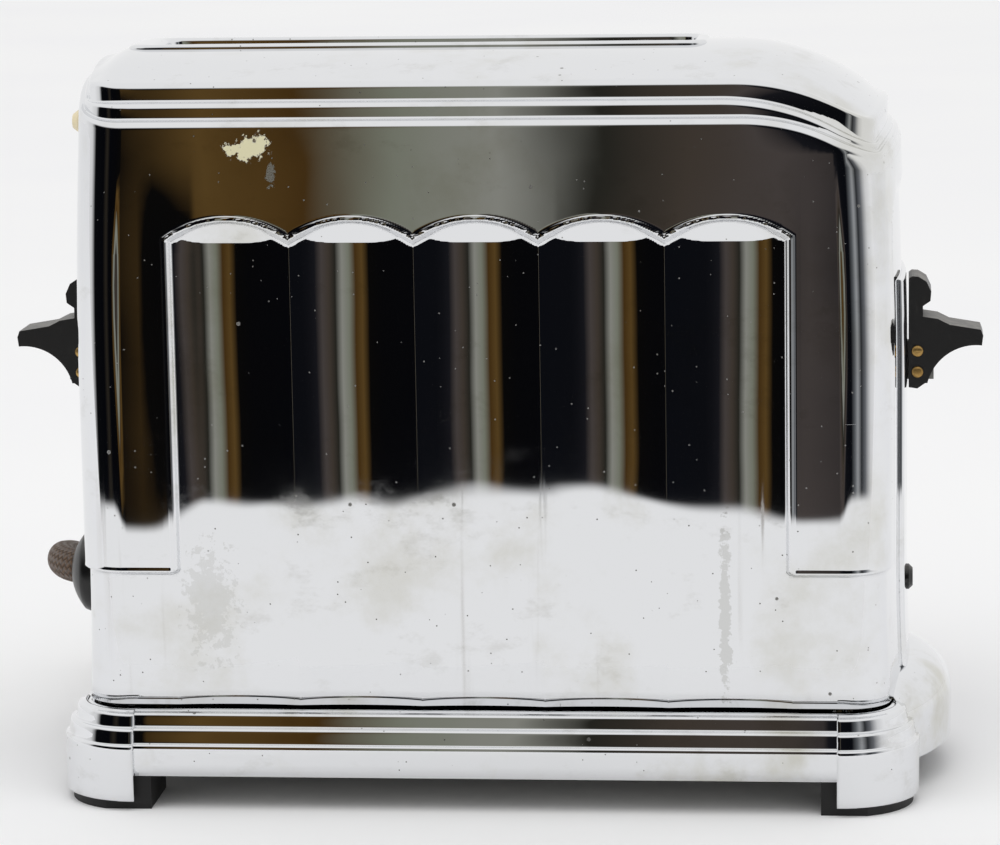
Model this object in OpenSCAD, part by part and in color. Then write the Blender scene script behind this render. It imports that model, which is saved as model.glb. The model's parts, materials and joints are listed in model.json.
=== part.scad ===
// Single slot pop up toaster with a fluted chrome shell, a stepped base and a clockwork timer.
// Units are millimetres, Z is up, the floor is Z = 0 and the origin is under the middle.

/* [Shell] */
// Length over the bowed ends
body_len = 212; // [200:1:224]
// Depth over the raised frame
body_dep = 102.4; // [98:0.2:108]
// Height from the shell's lower edge to the crest of its top
shell_h = 162.8; // [152:0.2:172]
// Sheet thickness of the chrome shell
sheet = 1; // [0.8:0.1:1.4]
// Radius of the upright corners
corner_r = 12; // [9:0.5:15]
// Radius of the bow of each end seen from above
end_bow = 217; // [180:1:320]
// Radius of the bow of each end seen from the front
side_bow = 1000; // [800:10:2000]
// How far the raised frame stands out from the lower wall
frame_proud = 1.2; // [0.6:0.1:2]
// Height of the frame's lower edge above the shell's lower edge
frame_foot = 34; // [26:1:42]
// Height of the top of the end recesses above the shell's lower edge
recess_top = 126; // [118:1:132]
// Half width of the end recesses
recess_half = 37; // [34:0.5:38]

/* [Stepped top] */
// Radius of the crown across the top
crown_r = 130; // [120:1:160]
// Radius of the curve that drops to the control end
drop_r = 74; // [64:1:84]
// Where that curve starts
drop_x = 58; // [56:1:64]
// Step back of each tier at the front and rear
tier_in = 4; // [3:0.1:4.6]
// Step back of each tier at the ends
tier_end = 1.2; // [0.8:0.1:2]
// Drop from the crown to the middle tier
tier_2_drop = 2.6; // [2.2:0.1:3.4]
// Drop from the crown to the lower tier
tier_1_drop = 5.1; // [4.6:0.1:6]
// Radius of the rounded tier edges
tier_round = 2; // [1.4:0.1:2.6]

/* [Flutes] */
// Width of one flute
flute_pitch = 31; // [28:0.5:32]
// Depth of a flute below its ridges
flute_sag = 3.3; // [2:0.1:4]
// Height of the flutes' upper ends above the shell's lower edge
flute_top = 116.4; // [108:0.2:120]
// Rise of the hooded upper end for each unit of depth
flute_hood = 1.7; // [1:0.1:2]

/* [Bread slot] */
// Length of the slot
slot_len = 137; // [130:1:142]
// Width of the slot
slot_w = 19; // [17:0.5:21]
// Position of the slot's middle
slot_x = -16.5; // [-20:0.5:-14]
// Width of the rim round the slot
rim_w = 2.4; // [1.8:0.1:3]
// Height of the rim above the crest
rim_h = 0.7; // [0.5:0.1:1.6]

/* [Base] */
// Depth of the base over its lower wall
base_dep = 112; // [110:0.5:118]
// Length of the base over its lower wall
base_len = 215.4; // [213:0.5:222]
// Height of the shell's lower edge above the floor
base_h = 26.2; // [24:0.2:30]
// Wall thickness of the base
base_wall = 1.4; // [1.2:0.1:1.8]
// Height of the lower edge of the wall between the feet
wall_foot = 9; // [8:0.5:11]
// Height of the ledge above the lower wall
ledge_z = 17.2; // [16:0.2:18]
// Corner radius of the base
base_r = 18; // [16:0.5:19]
// Radius of each chrome foot
foot_r = 19.7; // [19:0.1:20.5]
// Height of the chrome feet above the floor
foot_z = 2.5; // [2:0.1:4]
// Reach of the control apron past the middle
apron_x = 117.5; // [116:0.5:119]
// Radius of the apron seen from above
apron_r = 62.5; // [55:0.5:70]
// Height of the apron's rim
apron_rim = 19.8; // [18:0.2:21]
// Height of the apron's domed top
apron_top = 24.6; // [23:0.2:25]

/* [Handles] */
// Travel of both handles
travel = 38; // [30:0.5:38]
// Height of the handles' lower edge at rest
handle_z = 99.8; // [99.8:0.2:104]
// Height of a handle's spine
spine_h = 29; // [27:0.5:31]
// Thickness of a handle's spine
spine_t = 3.6; // [3:0.2:4.4]
// Reach of a handle from the end plate
reach = 18.4; // [16:0.2:20]
// Width of a handle
handle_w = 13; // [11:0.5:16]
// Thickness of the tongue behind a handle
tongue_t = 2.4; // [2:0.1:3]
// Height of the tongue
tongue_h = 10; // [7:0.5:10]

/* [Mechanism] */
// Diameter of the guide rods
rod_d = 5; // [4:0.5:5.5]
// Running clearance of every sliding or turning bore, on the radius
run_gap = 0.06; // [0.03:0.01:0.1]
// Gap kept between pieces that move past each other
clear = 0.4; // [0.3:0.05:0.6]
// Height of the bread rest at rest
rest_z = 76; // [72:0.5:80]
// Distance of the heater boards from the middle
heater_y = 20; // [18:0.5:22]
// Thickness of the heater boards
board_t = 1; // [0.8:0.1:1.4]
// Distance of the guard wires from the middle
guard_y = 12; // [11:0.5:13]
// Diameter of the guard wires
guard_d = 1.6; // [1.2:0.1:2]
// Thickness of the steel sheets inside
plate_t = 1.2; // [1:0.1:1.5]
// Pitch radius of the winding pinion
pinion_r = 9; // [8:0.5:9.5]
// Diameter of the spring barrel
barrel_d = 27; // [24:0.5:28]

/* [Controls and cord] */
// Diameter of the browning knob
knob_d = 6.6; // [6:0.2:8]
// Height of the browning knob
knob_z = 51; // [49:0.5:53]
// Diameter of the release button
button_d = 6.2; // [5.6:0.1:7]
// Height of the release button
button_z = 170; // [167:0.5:171]
// Travel of the release button
button_travel = 1.6; // [1:0.1:2]
// Diameter of the cord gland
gland_d = 21.6; // [20:0.2:21.8]
// Height of the cord gland
gland_z = 50; // [49:0.2:50]
// Diameter of the braided cord
cord_d = 6.2; // [5.6:0.1:7]

/* [Hidden] */
$fn = 96;
fine = 240;
eps = 0.02;
lap = 0.03;
crest_z = base_h + shell_h;
half_x = body_len / 2;
half_y = body_dep / 2;
low_x = half_x - frame_proud;
low_y = half_y - frame_proud;
bow_mid_z = base_h + 79;
frame_z = base_h + frame_foot;
recess_z = base_h + recess_top;
recess_r = 12;
drop_z = crest_z - drop_r;
flute_n = 5;
flute_x = flute_pitch * flute_n / 2;
flute_r = (pow(flute_pitch / 2, 2) + pow(flute_sag, 2)) / (2 * flute_sag);
flute_sink = 0.15;
flute_y = low_y + flute_r - flute_sag - flute_sink;
flute_z = base_h + flute_top;
slot_left = slot_x - slot_len / 2;
slot_right = slot_x + slot_len / 2;
rim_neck = 1.2;
rim_left = 8;
rim_right = 3.5;
rim_foot = crest_z - 7;

// Chassis
deck_z = base_h - 1;
floor_top = deck_z + plate_t;
well_left = slot_left - 3.8;
well_right = slot_right + 4;
well_half = 34;
well_top = crest_z - 24;
baffle_y = 31;
baffle_t = 0.8;
crumb_half = 30;
board_z0 = floor_top + 12;
board_z1 = well_top - 10;
ribbon_w = 1.6;
ribbon_t = 0.3;
ribbon_runs = 20;
ribbon_pitch = 6.8;
cover_z = wall_foot;
cover_t = 1;

// Carriage and lever places
tongue_z = handle_z + 1.6;
tongue_top = tongue_z + tongue_h;
face_x = half_x + 0.3;
left_rod_x = well_left - plate_t - 5.5;
right_rod_x = well_right + 7.4;
block_w = 8.6;
block_half = 4;
block_z = rest_z - 4;
left_block_h = 46;
right_block_h = 28;
rod_top = rest_z + left_block_h + 34;
arm_half = 3;
arm_h = 5;
rest_half = 6;
rest_t = 1.2;
spring_y = 9;
spring_d = 5.6;
spring_wire = 0.9;
lug_h = 4;
rivet_d = 3;

// Timer places
lever_rod_x = 96.6;
lever_rod_d = 4;
lever_block_w = 7.2;
lever_block_half = 4;
lever_block_h = 48;
lever_block_z = tongue_top + 3.6 - lever_block_h;
pinion_teeth = 18;
gear_module = 2 * pinion_r / pinion_teeth;
arbor_x = lever_rod_x - lever_block_w / 2 - pinion_r;
arbor_z = lever_block_z + 6;
arbor_d = 4;
great_teeth = 30;
small_teeth = 12;
train = gear_module * (great_teeth + small_teeth) / 2;
train_turn = 107;
fly_x = arbor_x + train * cos(train_turn);
fly_z = arbor_z + train * sin(train_turn);
fly_d = 17;
frame_half = 12.4;
frame_x0 = arbor_x - 15.4;
frame_x1 = arbor_x + 8;
frame_top = lever_block_z + lever_block_h + 2;

// Base places
base_cx = base_len / 2 - base_r;
base_cy = base_dep / 2 - base_r;
foot_cx = 89.3;
foot_cy = 37.6;
foot_cut_x = 88.5;
foot_cut_y = 36.5;
apron_cx = apron_x - apron_r;
apron_round = apron_top + 5.7 - apron_rim;
post_x = 76;
post_y = 46;
post_d = 6;
screw_d = 3;

// Controls
knob_y = -8;
button_y = -8;
seat_in = 3.4;
spigot_d = 14;
lead_d = 2;
lead_y = 5.8;
lead_x = left_rod_x + 1.5;

// Cord, plug and coil
gland_reach = 9.2;
gland_cap_r = 15.5;
gland_tilt = 50;
cord_exit = [-114.5, 5.5, gland_z];
coil_c = [68, 58.4];
coil_y = 57.9;
coil_pitch = 6.8;
coil_layers = 4;
coil_turns = 5.75;
coil_mid = 31.5;
coil_run = coil_turns / coil_layers;
coil_in = coil_mid - coil_pitch * coil_run / 2;
coil_out = coil_in + coil_pitch * coil_run;
lead_points = [
    [-114.5, 5.5, 50], [-117.2, 8.7, 50], [-119.4, 13.8, 50], [-120.5, 22, 49.4], [-119.6, 36, 46.6],
    [-114.5, 52, 40], [-105, 65, 30], [-91, 74, 18], [-74, 78, 8], [-54, 78, 3.4], [-32, 76, 3.2],
    [-8, 72, 3.3], [14, 66, 6.4], [34, 60, 13], [48, 58.1, 18.6], [55, 57.9, 21.2], [61.8, 57.9, 22]
];
tail_points = [
    [31.6, 78.3, 52.2], [31.6, 78.3, 46], [31.4, 79, 40], [29.6, 82, 27], [24, 87, 14], [12, 92, 5.6],
    [-6, 95, 3.3], [-26, 96, 3.3], [-44, 96, 5.6], [-56, 96, 10], [-64, 96, 12.6], [-72, 96, 13]
];
plug_c = [-72, 96, 13];

// Outline of a level seen from above, with bowed ends and round corners
module plan(xe, ye, r, bow) {
    bow_c = xe - bow;
    touch = (ye - r) * bow / (bow - r);
    corner_x = bow_c + sqrt(pow(bow - r, 2) - pow(ye - r, 2)) + lap;
    intersection() {
        translate([bow_c, 0]) circle(bow, $fn = fine);
        translate([-bow_c, 0]) circle(bow, $fn = fine);
        square([2 * xe + 2, 2 * touch], center = true);
    }
    square([2 * corner_x, 2 * ye], center = true);
    for (sx = [-1, 1], sy = [-1, 1]) {
        translate([sx * corner_x, sy * (ye - r)]) circle(r);
    }
}

// Upright prism of a level, bowed a little from top to bottom as well
module level(xe, ye, r, z0, z1, t) {
    intersection() {
        translate([0, 0, z0]) linear_extrude(z1 - z0) plan(xe, ye, r, end_bow - t);
        rotate([90, 0, 0]) linear_extrude(2 * ye + 2, center = true) intersection() {
            translate([xe - side_bow, bow_mid_z]) circle(side_bow, $fn = fine * 3);
            translate([side_bow - xe, bow_mid_z]) circle(side_bow, $fn = fine * 3);
            translate([-xe - 1, z0 - 1]) square([2 * xe + 2, z1 - z0 + 2]);
        }
    }
}

// Half section of the crowned top with rounded front and rear edges, measured from the drop's axis
module crown_section(dz, a, rf) {
    k = crown_r - dz;
    uc = drop_r - crown_r;
    uf = uc + sqrt(pow(k - rf, 2) - pow(a - rf, 2)) + lap;
    touch = (a - rf) * k / (k - rf);
    intersection() {
        translate([uc, 0]) circle(k, $fn = fine * 2);
        translate([0, -touch]) square([k, 2 * touch]);
    }
    translate([0, -a]) square([uf, 2 * a]);
    for (s = [-1, 1]) translate([uf, s * (a - rf)]) circle(rf, $fn = 48);
}

// Everything below the crowned top, which runs level and then drops at the control end
module below_top(dz, a, rf) {
    translate([drop_x, 0, drop_z]) rotate([0, -90, 0]) linear_extrude(drop_x + half_x + 4)
        crown_section(dz, a, rf);
    translate([drop_x, 0, drop_z]) rotate([-90, -90, 0]) rotate_extrude(angle = 90, $fn = fine)
        crown_section(dz, a, rf);
    translate([-half_x - 4, -a, 0]) cube([2 * half_x + 8, 2 * a, drop_z]);
}

// One tier of the top
module tier(index, dz, z0, t) {
    back = index * tier_in;
    xe = half_x - index * tier_end - t;
    ye = half_y - back - t;
    intersection() {
        level(xe, ye, corner_r - index * 1.6 - t, z0, crest_z + 4, t);
        below_top(dz + t, ye, max(tier_round - t / 2, 0.6));
    }
}

// Arch topped recess in the raised frame of each end
module recess(t) {
    w = recess_half + t;
    rr = recess_r + t;
    translate([0, 0, frame_z - 10]) rotate([90, 0, 90]) linear_extrude(2 * half_x + 20, center = true) {
        translate([-w, 0]) square([2 * w, recess_z - frame_z + 10 + t - rr]);
        translate([-(w - rr), 0]) square([2 * (w - rr), recess_z - frame_z + 10 + t]);
        for (s = [-1, 1]) translate([s * (w - rr), recess_z - frame_z + 10 + t - rr]) circle(rr);
    }
}

// Cutter for one flute with its hooded upper end
module flute_cutter(x, side, t) {
    r = flute_r + t;
    rise = r * 0.4;
    translate([x, side * flute_y, 0]) {
        translate([0, 0, base_h - 6]) cylinder(r = r, h = flute_z - base_h + 6, $fn = fine);
        translate([0, 0, flute_z - eps]) cylinder(r1 = r, r2 = r - rise, h = rise * flute_hood, $fn = fine);
    }
}

// The shell's form, inset by t for its inner face
module skin(t) {
    difference() {
        union() {
            level(low_x - t, low_y - t, corner_r - frame_proud - t, base_h - (t > 0 ? 1 : 0), frame_z + 2, t);
            intersection() {
                level(low_x - t, low_y - t, corner_r - frame_proud - t, frame_z, recess_z + 1, t);
                translate([-half_x, -recess_half - 2, 0]) cube([2 * half_x, 2 * recess_half + 4, crest_z]);
            }
            difference() {
                intersection() {
                    level(half_x - t, half_y - t, corner_r - t, frame_z + t, crest_z + 4, t);
                    below_top(tier_1_drop + t, half_y - t, max(tier_round - t / 2, 0.6));
                }
                recess(t);
            }
            tier(1, tier_2_drop, recess_z, t);
            tier(2, 0, recess_z, t);
        }
        for (side = [-1, 1], k = [0 : flute_n - 1]) {
            flute_cutter((k + 0.5) * flute_pitch - flute_x, side, t);
        }
    }
}

// A rectangle with round corners
module round_rect(l, w, r) {
    square([l - 2 * r, w], center = true);
    square([l, w - 2 * r], center = true);
    for (sx = [-1, 1], sy = [-1, 1]) translate([sx * (l / 2 - r), sy * (w / 2 - r)]) circle(r);
}

module rim_plan(extra) {
    translate([(slot_left - rim_left + slot_right + rim_right) / 2, 0])
        round_rect(slot_len + rim_left + rim_right + 2 * extra, slot_w + 2 * rim_w + 2 * extra, 5);
}

module slot_plan(extra) {
    translate([slot_x, 0]) round_rect(slot_len + 2 * extra, slot_w + 2 * extra, 3 + extra);
}

module lever_slot(side) {
    z0 = tongue_z - travel - clear;
    translate([side > 0 ? 60 : -130, -tongue_t / 2 - clear, z0])
        cube([70, tongue_t + 2 * clear, tongue_top + clear - z0]);
}

module body_shell() color("silver") difference() {
    skin(0);
    skin(sheet);
    translate([0, 0, rim_foot - 6]) linear_extrude(30) slot_plan(rim_neck);
    lever_slot(1);
    lever_slot(-1);
    translate([-half_x - 5, 0, gland_z]) rotate([0, 90, 0]) cylinder(d = spigot_d, h = 20);
    translate([half_x - 15, knob_y, knob_z]) rotate([0, 90, 0]) cylinder(d = 3 + 2 * run_gap, h = 20);
    translate([-half_x - 5, button_y, button_z]) rotate([0, 90, 0]) cylinder(d = button_d + 2 * run_gap, h = 20);
}

module slot_rim() color("silver") {
    difference() {
        translate([0, 0, rim_foot]) linear_extrude(crest_z + rim_h - rim_foot) rim_plan(0);
        translate([0, 0, rim_foot - 1]) linear_extrude(40) slot_plan(0);
        skin(0);
        translate([-half_x, -40, rim_foot - 1]) cube([2 * half_x, 80, crest_z - 5 - rim_foot]);
    }
    difference() {
        translate([0, 0, rim_foot]) linear_extrude(crest_z + rim_h / 2 - rim_foot) slot_plan(rim_neck);
        translate([0, 0, rim_foot - 1]) linear_extrude(40) slot_plan(0);
    }
}

// Raised plate down the middle of an end, round the lever slot
module end_plate(side) {
    plate_half = 20;
    plate_top = base_h + 103.7;
    difference() {
        intersection() {
            level(half_x, half_y, corner_r, base_h, crest_z, 0);
            translate([side > 0 ? 60 : -140, -plate_half, base_h]) cube([80, 2 * plate_half, plate_top - base_h]);
        }
        level(low_x, low_y, corner_r - frame_proud, base_h - 1, crest_z, 0);
        lever_slot(side);
        if (side < 0) translate([-half_x - 5, 0, gland_z]) rotate([0, 90, 0]) cylinder(d = spigot_d, h = 20);
        if (side > 0) {
            translate([half_x - 15, knob_y, knob_z]) rotate([0, 90, 0]) cylinder(d = 3 + 2 * run_gap, h = 20);
        }
    }
}

module end_plate_left() color("gainsboro") end_plate(-1);
module end_plate_right() color("gainsboro") end_plate(1);

// Solid swept round a rounded rectangle from a half profile of [outward, height] points
module moulded(profile, r, cx, cy) {
    for (sx = [-1, 1], sy = [-1, 1]) translate([sx * cx, sy * cy, 0]) rotate_extrude() polygon(profile);
    full_y = concat([for (p = profile) [p[0] + cy, p[1]]], [for (i = [len(profile) - 1 : -1 : 0])
        [-profile[i][0] - cy, profile[i][1]]]);
    full_x = concat([for (p = profile) [p[0] + cx, p[1]]], [for (i = [len(profile) - 1 : -1 : 0])
        [-profile[i][0] - cx, profile[i][1]]]);
    rotate([90, 0, 90]) linear_extrude(2 * cx, center = true) polygon(full_y);
    rotate([90, 0, 0]) linear_extrude(2 * cy, center = true) polygon(full_x);
}

// Mouldings between the base's wall and the shell, as steps in from the wall
base_profile = [
    [0, wall_foot], [base_r, wall_foot], [base_r, ledge_z - 0.5], [base_r - 0.15, ledge_z - 0.15],
    [base_r - 0.5, ledge_z], [base_r - 1, ledge_z], [base_r - 1.1, ledge_z + 0.3],
    [base_r - 1.2, ledge_z + 2.2], [base_r - 1.4, ledge_z + 2.9], [base_r - 1.8, ledge_z + 3.5],
    [base_r - 2.4, ledge_z + 3.9], [base_r - 2.9, ledge_z + 4], [base_r - 3.1, ledge_z + 4.5],
    [base_r - 3.3, ledge_z + 5.4], [base_r - 3.45, ledge_z + 6.2], [base_r - 3.6, deck_z - 1.3],
    [base_r - 4, deck_z - 0.8], [base_r - 4.7, deck_z - 0.6], [base_r - 4.9, deck_z - 0.35],
    [base_r - 5.2, deck_z - 0.1], [base_r - 5.6, deck_z], [0, deck_z]
];
inner_profile = [
    [0, -1], [base_r - base_wall, -1], [base_r - base_wall, ledge_z - 1.6],
    [base_r - base_wall - 2, ledge_z + 0.4], [base_r - base_wall - 2.4, ledge_z + 2.2],
    [base_r - base_wall - 4, ledge_z + 3.8], [base_r - base_wall - 4.6, deck_z - base_wall],
    [0, deck_z - base_wall]
];

// Mirrors a piece drawn in the front right quarter, or at the rear right, to its own corner
module to_corner(sx, sy) mirror([sx < 0 ? 1 : 0, 0, 0]) mirror([0, sy < 0 ? 1 : 0, 0]) children();

module foot_column() {
    intersection() {
        translate([foot_cx, foot_cy, 0]) rotate_extrude() union() {
            translate([0, foot_z]) square([foot_r, ledge_z - foot_z]);
            translate([0, foot_z]) square([foot_r - 2.6, ledge_z + 2.6 - foot_z]);
            translate([foot_r - 2.6, ledge_z]) circle(2.6, $fn = 48);
        }
        translate([foot_cut_x, foot_cut_y, 0]) cube([40, 40, 40]);
    }
}

module apron(t) {
    rr = apron_round;
    intersection() {
        translate([apron_cx, 0, 0]) rotate_extrude($fn = fine) union() {
            translate([0, wall_foot - (t > 0 ? 12 : 0)]) square([apron_r - t, apron_rim - wall_foot + (t > 0 ? 12 : 0)]);
            intersection() {
                translate([apron_r - rr - t, apron_rim]) circle(rr);
                translate([0, apron_rim - 1]) square([apron_r, rr + 2]);
            }
            translate([0, apron_rim - 1]) square([apron_r - rr - t, rr + 1]);
        }
        translate([base_cx, -60, -5]) cube([60, 120, 60]);
    }
}

module base_solid() {
    moulded(base_profile, base_r, base_cx, base_cy);
    difference() {
        apron(0);
        level(half_x + 0.05, half_y + 0.05, corner_r, deck_z, crest_z, 0);
    }
}

module base_shell() color("silver") {
    difference() {
        base_solid();
        difference() {
            moulded(inner_profile, base_r, base_cx, base_cy);
            for (sx = [-1, 1], sy = [-1, 1]) {
                translate([sx * post_x, sy * post_y, cover_z + cover_t]) cylinder(d = post_d, h = 30);
            }
        }
        intersection() {
            apron(base_wall);
            translate([base_cx, -50, -10]) cube([40, 100, deck_z - base_wall + 10]);
        }
        intersection() {
            apron(base_wall);
            translate([half_x + 1.4, -50, 0]) cube([40, 100, 60]);
        }
        translate([well_left + 4, -crumb_half, 0]) cube([well_right - well_left - 8, 2 * crumb_half, 60]);
        for (sx = [-1, 1], sy = [-1, 1]) {
            translate([sx * post_x, sy * post_y, 0]) cylinder(d = screw_d, h = 21);
        }
        for (s = [-1, 1]) translate([lead_x, s * lead_y, 0]) cylinder(d = lead_d + 2, h = 60);
    }
    difference() {
        translate([0, 0, deck_z - eps]) linear_extrude(base_h - deck_z + eps) intersection() {
            plan(low_x - seat_in, low_y - 0.7, corner_r - frame_proud - 0.7, end_bow);
            difference() {
                square([2 * half_x, 2 * half_y], center = true);
                square([2 * half_x - 17, 2 * half_y - 15], center = true);
            }
        }
    }
}

// Round cup of a foot, pressed onto the base's corner and open below for its pad
module foot_cup(sx, sy) color("silver") to_corner(sx, sy) difference() {
    foot_column();
    translate([foot_cx, foot_cy, 0]) cylinder(r = foot_r - base_wall, h = wall_foot + 0.5);
    moulded(base_profile, base_r, base_cx, base_cy);
}

module foot_cup_fl() foot_cup(-1, -1);
module foot_cup_fr() foot_cup(1, -1);
module foot_cup_rl() foot_cup(-1, 1);
module foot_cup_rr() foot_cup(1, 1);

module foot_pad(sx, sy) color("black") to_corner(sx, sy) {
    pad_r = foot_r - base_wall - 0.1;
    inner_x = foot_cut_x - 4;
    intersection() {
        union() {
            translate([foot_cx, foot_cy, 0]) cylinder(r = pad_r, h = cover_z);
            translate([inner_x, foot_cut_y - 3, 0]) cube([foot_cx - inner_x, base_dep / 2 - 1.5 - foot_cut_y + 3, cover_z]);
            translate([inner_x, foot_cut_y - 3, 0]) cube([foot_cx - inner_x + pad_r, foot_cy - foot_cut_y + 3, cover_z]);
        }
        translate([inner_x, foot_cut_y - 3, 0]) cube([60, base_dep / 2 - 1.5 - foot_cut_y + 3, 40]);
    }
}

module foot_pad_fl() foot_pad(-1, -1);
module foot_pad_fr() foot_pad(1, -1);
module foot_pad_rl() foot_pad(-1, 1);
module foot_pad_rr() foot_pad(1, 1);

module bottom_cover() color("gray") difference() {
    translate([0, 0, cover_z]) linear_extrude(cover_t)
        round_rect(base_len - 2 * base_wall, base_dep - 2 * base_wall, base_r - base_wall);
    for (sx = [-1, 1], sy = [-1, 1]) {
        translate([sx * post_x, sy * post_y, 0]) cylinder(d = screw_d, h = 40);
    }
}

module cover_screws() color("dimgray") {
    for (sx = [-1, 1], sy = [-1, 1]) translate([sx * post_x, sy * post_y, 0]) difference() {
        union() {
            translate([0, 0, cover_z - 1.8]) cylinder(d = 5.6, h = 1.8);
            translate([0, 0, cover_z - 0.1]) cylinder(d = screw_d, h = 11);
        }
        translate([-4, -0.4, cover_z - 1.9]) cube([8, 0.8, 0.9]);
    }
}

module chassis_floor() color("slategray") difference() {
    translate([0, 0, deck_z]) linear_extrude(plate_t) intersection() {
        square([2 * half_x - 17.6, 2 * half_y - 15.6], center = true);
    }
    translate([well_left + 4, -crumb_half, 0]) cube([well_right - well_left - 8, 2 * crumb_half, 60]);
    for (s = [-1, 1]) translate([lead_x, s * lead_y, 0]) cylinder(d = lead_d + 2, h = 60);
}

// Upright sheet that closes an end of the well, with the slot that its carriage arm runs in
module well_end(x) color("lightsteelblue") difference() {
    translate([x, -well_half, floor_top]) cube([plate_t, 2 * well_half, well_top - floor_top]);
    translate([x - 1, -arm_half - clear, block_z - travel - clear])
        cube([plate_t + 2, 2 * (arm_half + clear), travel + arm_h + 2 * clear]);
}

module well_end_left() well_end(well_left - plate_t);
module well_end_right() well_end(well_right);

module baffle(side) color("lightgray")
    translate([well_left, side > 0 ? baffle_y : -baffle_y - baffle_t, floor_top + 4])
        cube([well_right - well_left, baffle_t, well_top - floor_top - 12]);

module baffle_front() baffle(-1);
module baffle_rear() baffle(1);

module heater_board(side) color("tan")
    translate([well_left, side * heater_y - board_t / 2, board_z0])
        cube([well_right - well_left, board_t, board_z1 - board_z0]);

module heater_board_front() heater_board(-1);
module heater_board_rear() heater_board(1);

// Flat resistance ribbon that runs up and down the inner face of a board
module heater_ribbon(side) color("darkgoldenrod") {
    first = (well_left + well_right - ribbon_pitch * (ribbon_runs - 1)) / 2;
    low = board_z0 + 6;
    high = board_z1 - 6;
    face = heater_y - board_t / 2 - ribbon_t;
    mirror([0, side < 0 ? 1 : 0, 0]) translate([0, face, 0]) {
        for (k = [0 : ribbon_runs - 1]) {
            translate([first + k * ribbon_pitch - ribbon_w / 2, 0, low]) cube([ribbon_w, ribbon_t, high - low]);
        }
        for (k = [0 : ribbon_runs - 2]) {
            translate([first + k * ribbon_pitch, 0, k % 2 == 0 ? high - ribbon_w : low])
                cube([ribbon_pitch, ribbon_t, ribbon_w]);
        }
    }
}

module heater_ribbon_front() heater_ribbon(-1);
module heater_ribbon_rear() heater_ribbon(1);

// Wire guard that keeps bread off the ribbon
module guard(side) color("silver") {
    wires = 9;
    low = board_z0 - 4;
    high = well_top - 3;
    pitch = (well_right - well_left - 20) / (wires - 1);
    for (z = [low, high]) translate([well_left, side * guard_y, z]) rotate([0, 90, 0])
        cylinder(d = guard_d, h = well_right - well_left, $fn = 24);
    for (k = [0 : wires - 1]) translate([well_left + 10 + k * pitch, side * guard_y, low])
        cylinder(d = guard_d, h = high - low, $fn = 24);
}

module guard_front() guard(-1);
module guard_rear() guard(1);

module left_rod() color("lightgray") translate([left_rod_x, 0, floor_top]) cylinder(d = rod_d, h = rod_top - floor_top);
module right_rod() color("lightgray") translate([right_rod_x, 0, floor_top]) cylinder(d = rod_d, h = rod_top - floor_top);

module rod_bracket(x0, x1) color("slategray")
    translate([x0, -7, rod_top]) cube([x1 - x0, 20, plate_t]);

module rod_bracket_left() rod_bracket(left_rod_x - 3.4, well_left - plate_t);
module rod_bracket_right() rod_bracket(well_right + plate_t, right_rod_x + 3.4);

// Closed coil of the extension spring that lifts the carriage
module lift_spring() color("dimgray") translate([left_rod_x, spring_y, 0]) {
    low = block_z + left_block_h;
    step = spring_wire * 0.92;
    turns = floor((rod_top - low - 5) / step);
    for (k = [0 : turns - 1]) translate([0, 0, low + 2.5 + k * step]) rotate_extrude($fn = 32)
        translate([(spring_d - spring_wire) / 2, 0]) circle(d = spring_wire, $fn = 16);
    for (z = [low, low + 2.5 + (turns - 1) * step]) translate([(spring_d - spring_wire) / 2, 0, z])
        cylinder(d = spring_wire, h = z == low ? 2.5 : rod_top - z, $fn = 16);
}

module bore_block(x, h) difference() {
    translate([x - block_w / 2, -block_half, block_z]) cube([block_w, 2 * block_half, h]);
    translate([x, 0, block_z - 1]) cylinder(d = rod_d + 2 * run_gap, h = h + 2);
}

module slider_left() color("peru") difference() {
    slider_left_solid();
    handle_rivets(-1);
}

module slider_left_solid() {
    bore_block(left_rod_x, left_block_h);
    translate([left_rod_x - 3.4, block_half - eps, block_z + left_block_h - lug_h])
        cube([6.8, spring_y + 3.4 - block_half, lug_h]);
    translate([left_rod_x + block_w / 2 - eps, -arm_half, block_z])
        cube([well_left + 3 - left_rod_x - block_w / 2 + eps, 2 * arm_half, arm_h - rest_t]);
    translate([-face_x - 6.4, -tongue_t / 2, tongue_z])
        cube([face_x + 6.4 + left_rod_x - block_w / 2 + eps, tongue_t, tongue_h]);
}

module slider_right() color("peru") {
    bore_block(right_rod_x, right_block_h);
    translate([well_right - 3, -arm_half, block_z])
        cube([right_rod_x - block_w / 2 + eps - well_right + 3, 2 * arm_half, arm_h - rest_t]);
    translate([right_rod_x - 2, block_half - eps, block_z]) cube([4, 3, 4]);
}

module bread_rest() color("lightgray") translate([0, 0, block_z + arm_h - rest_t]) difference() {
    translate([well_left + 1, -rest_half, 0]) cube([well_right - well_left - 2, 2 * rest_half, rest_t]);
    for (k = [0 : 7]) translate([well_left + 12 + k * (well_right - well_left - 24) / 7, 0, -1]) {
        translate([-4.6, -3.4, 0]) cube([9.2, 6.8, 4]);
    }
}

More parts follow.
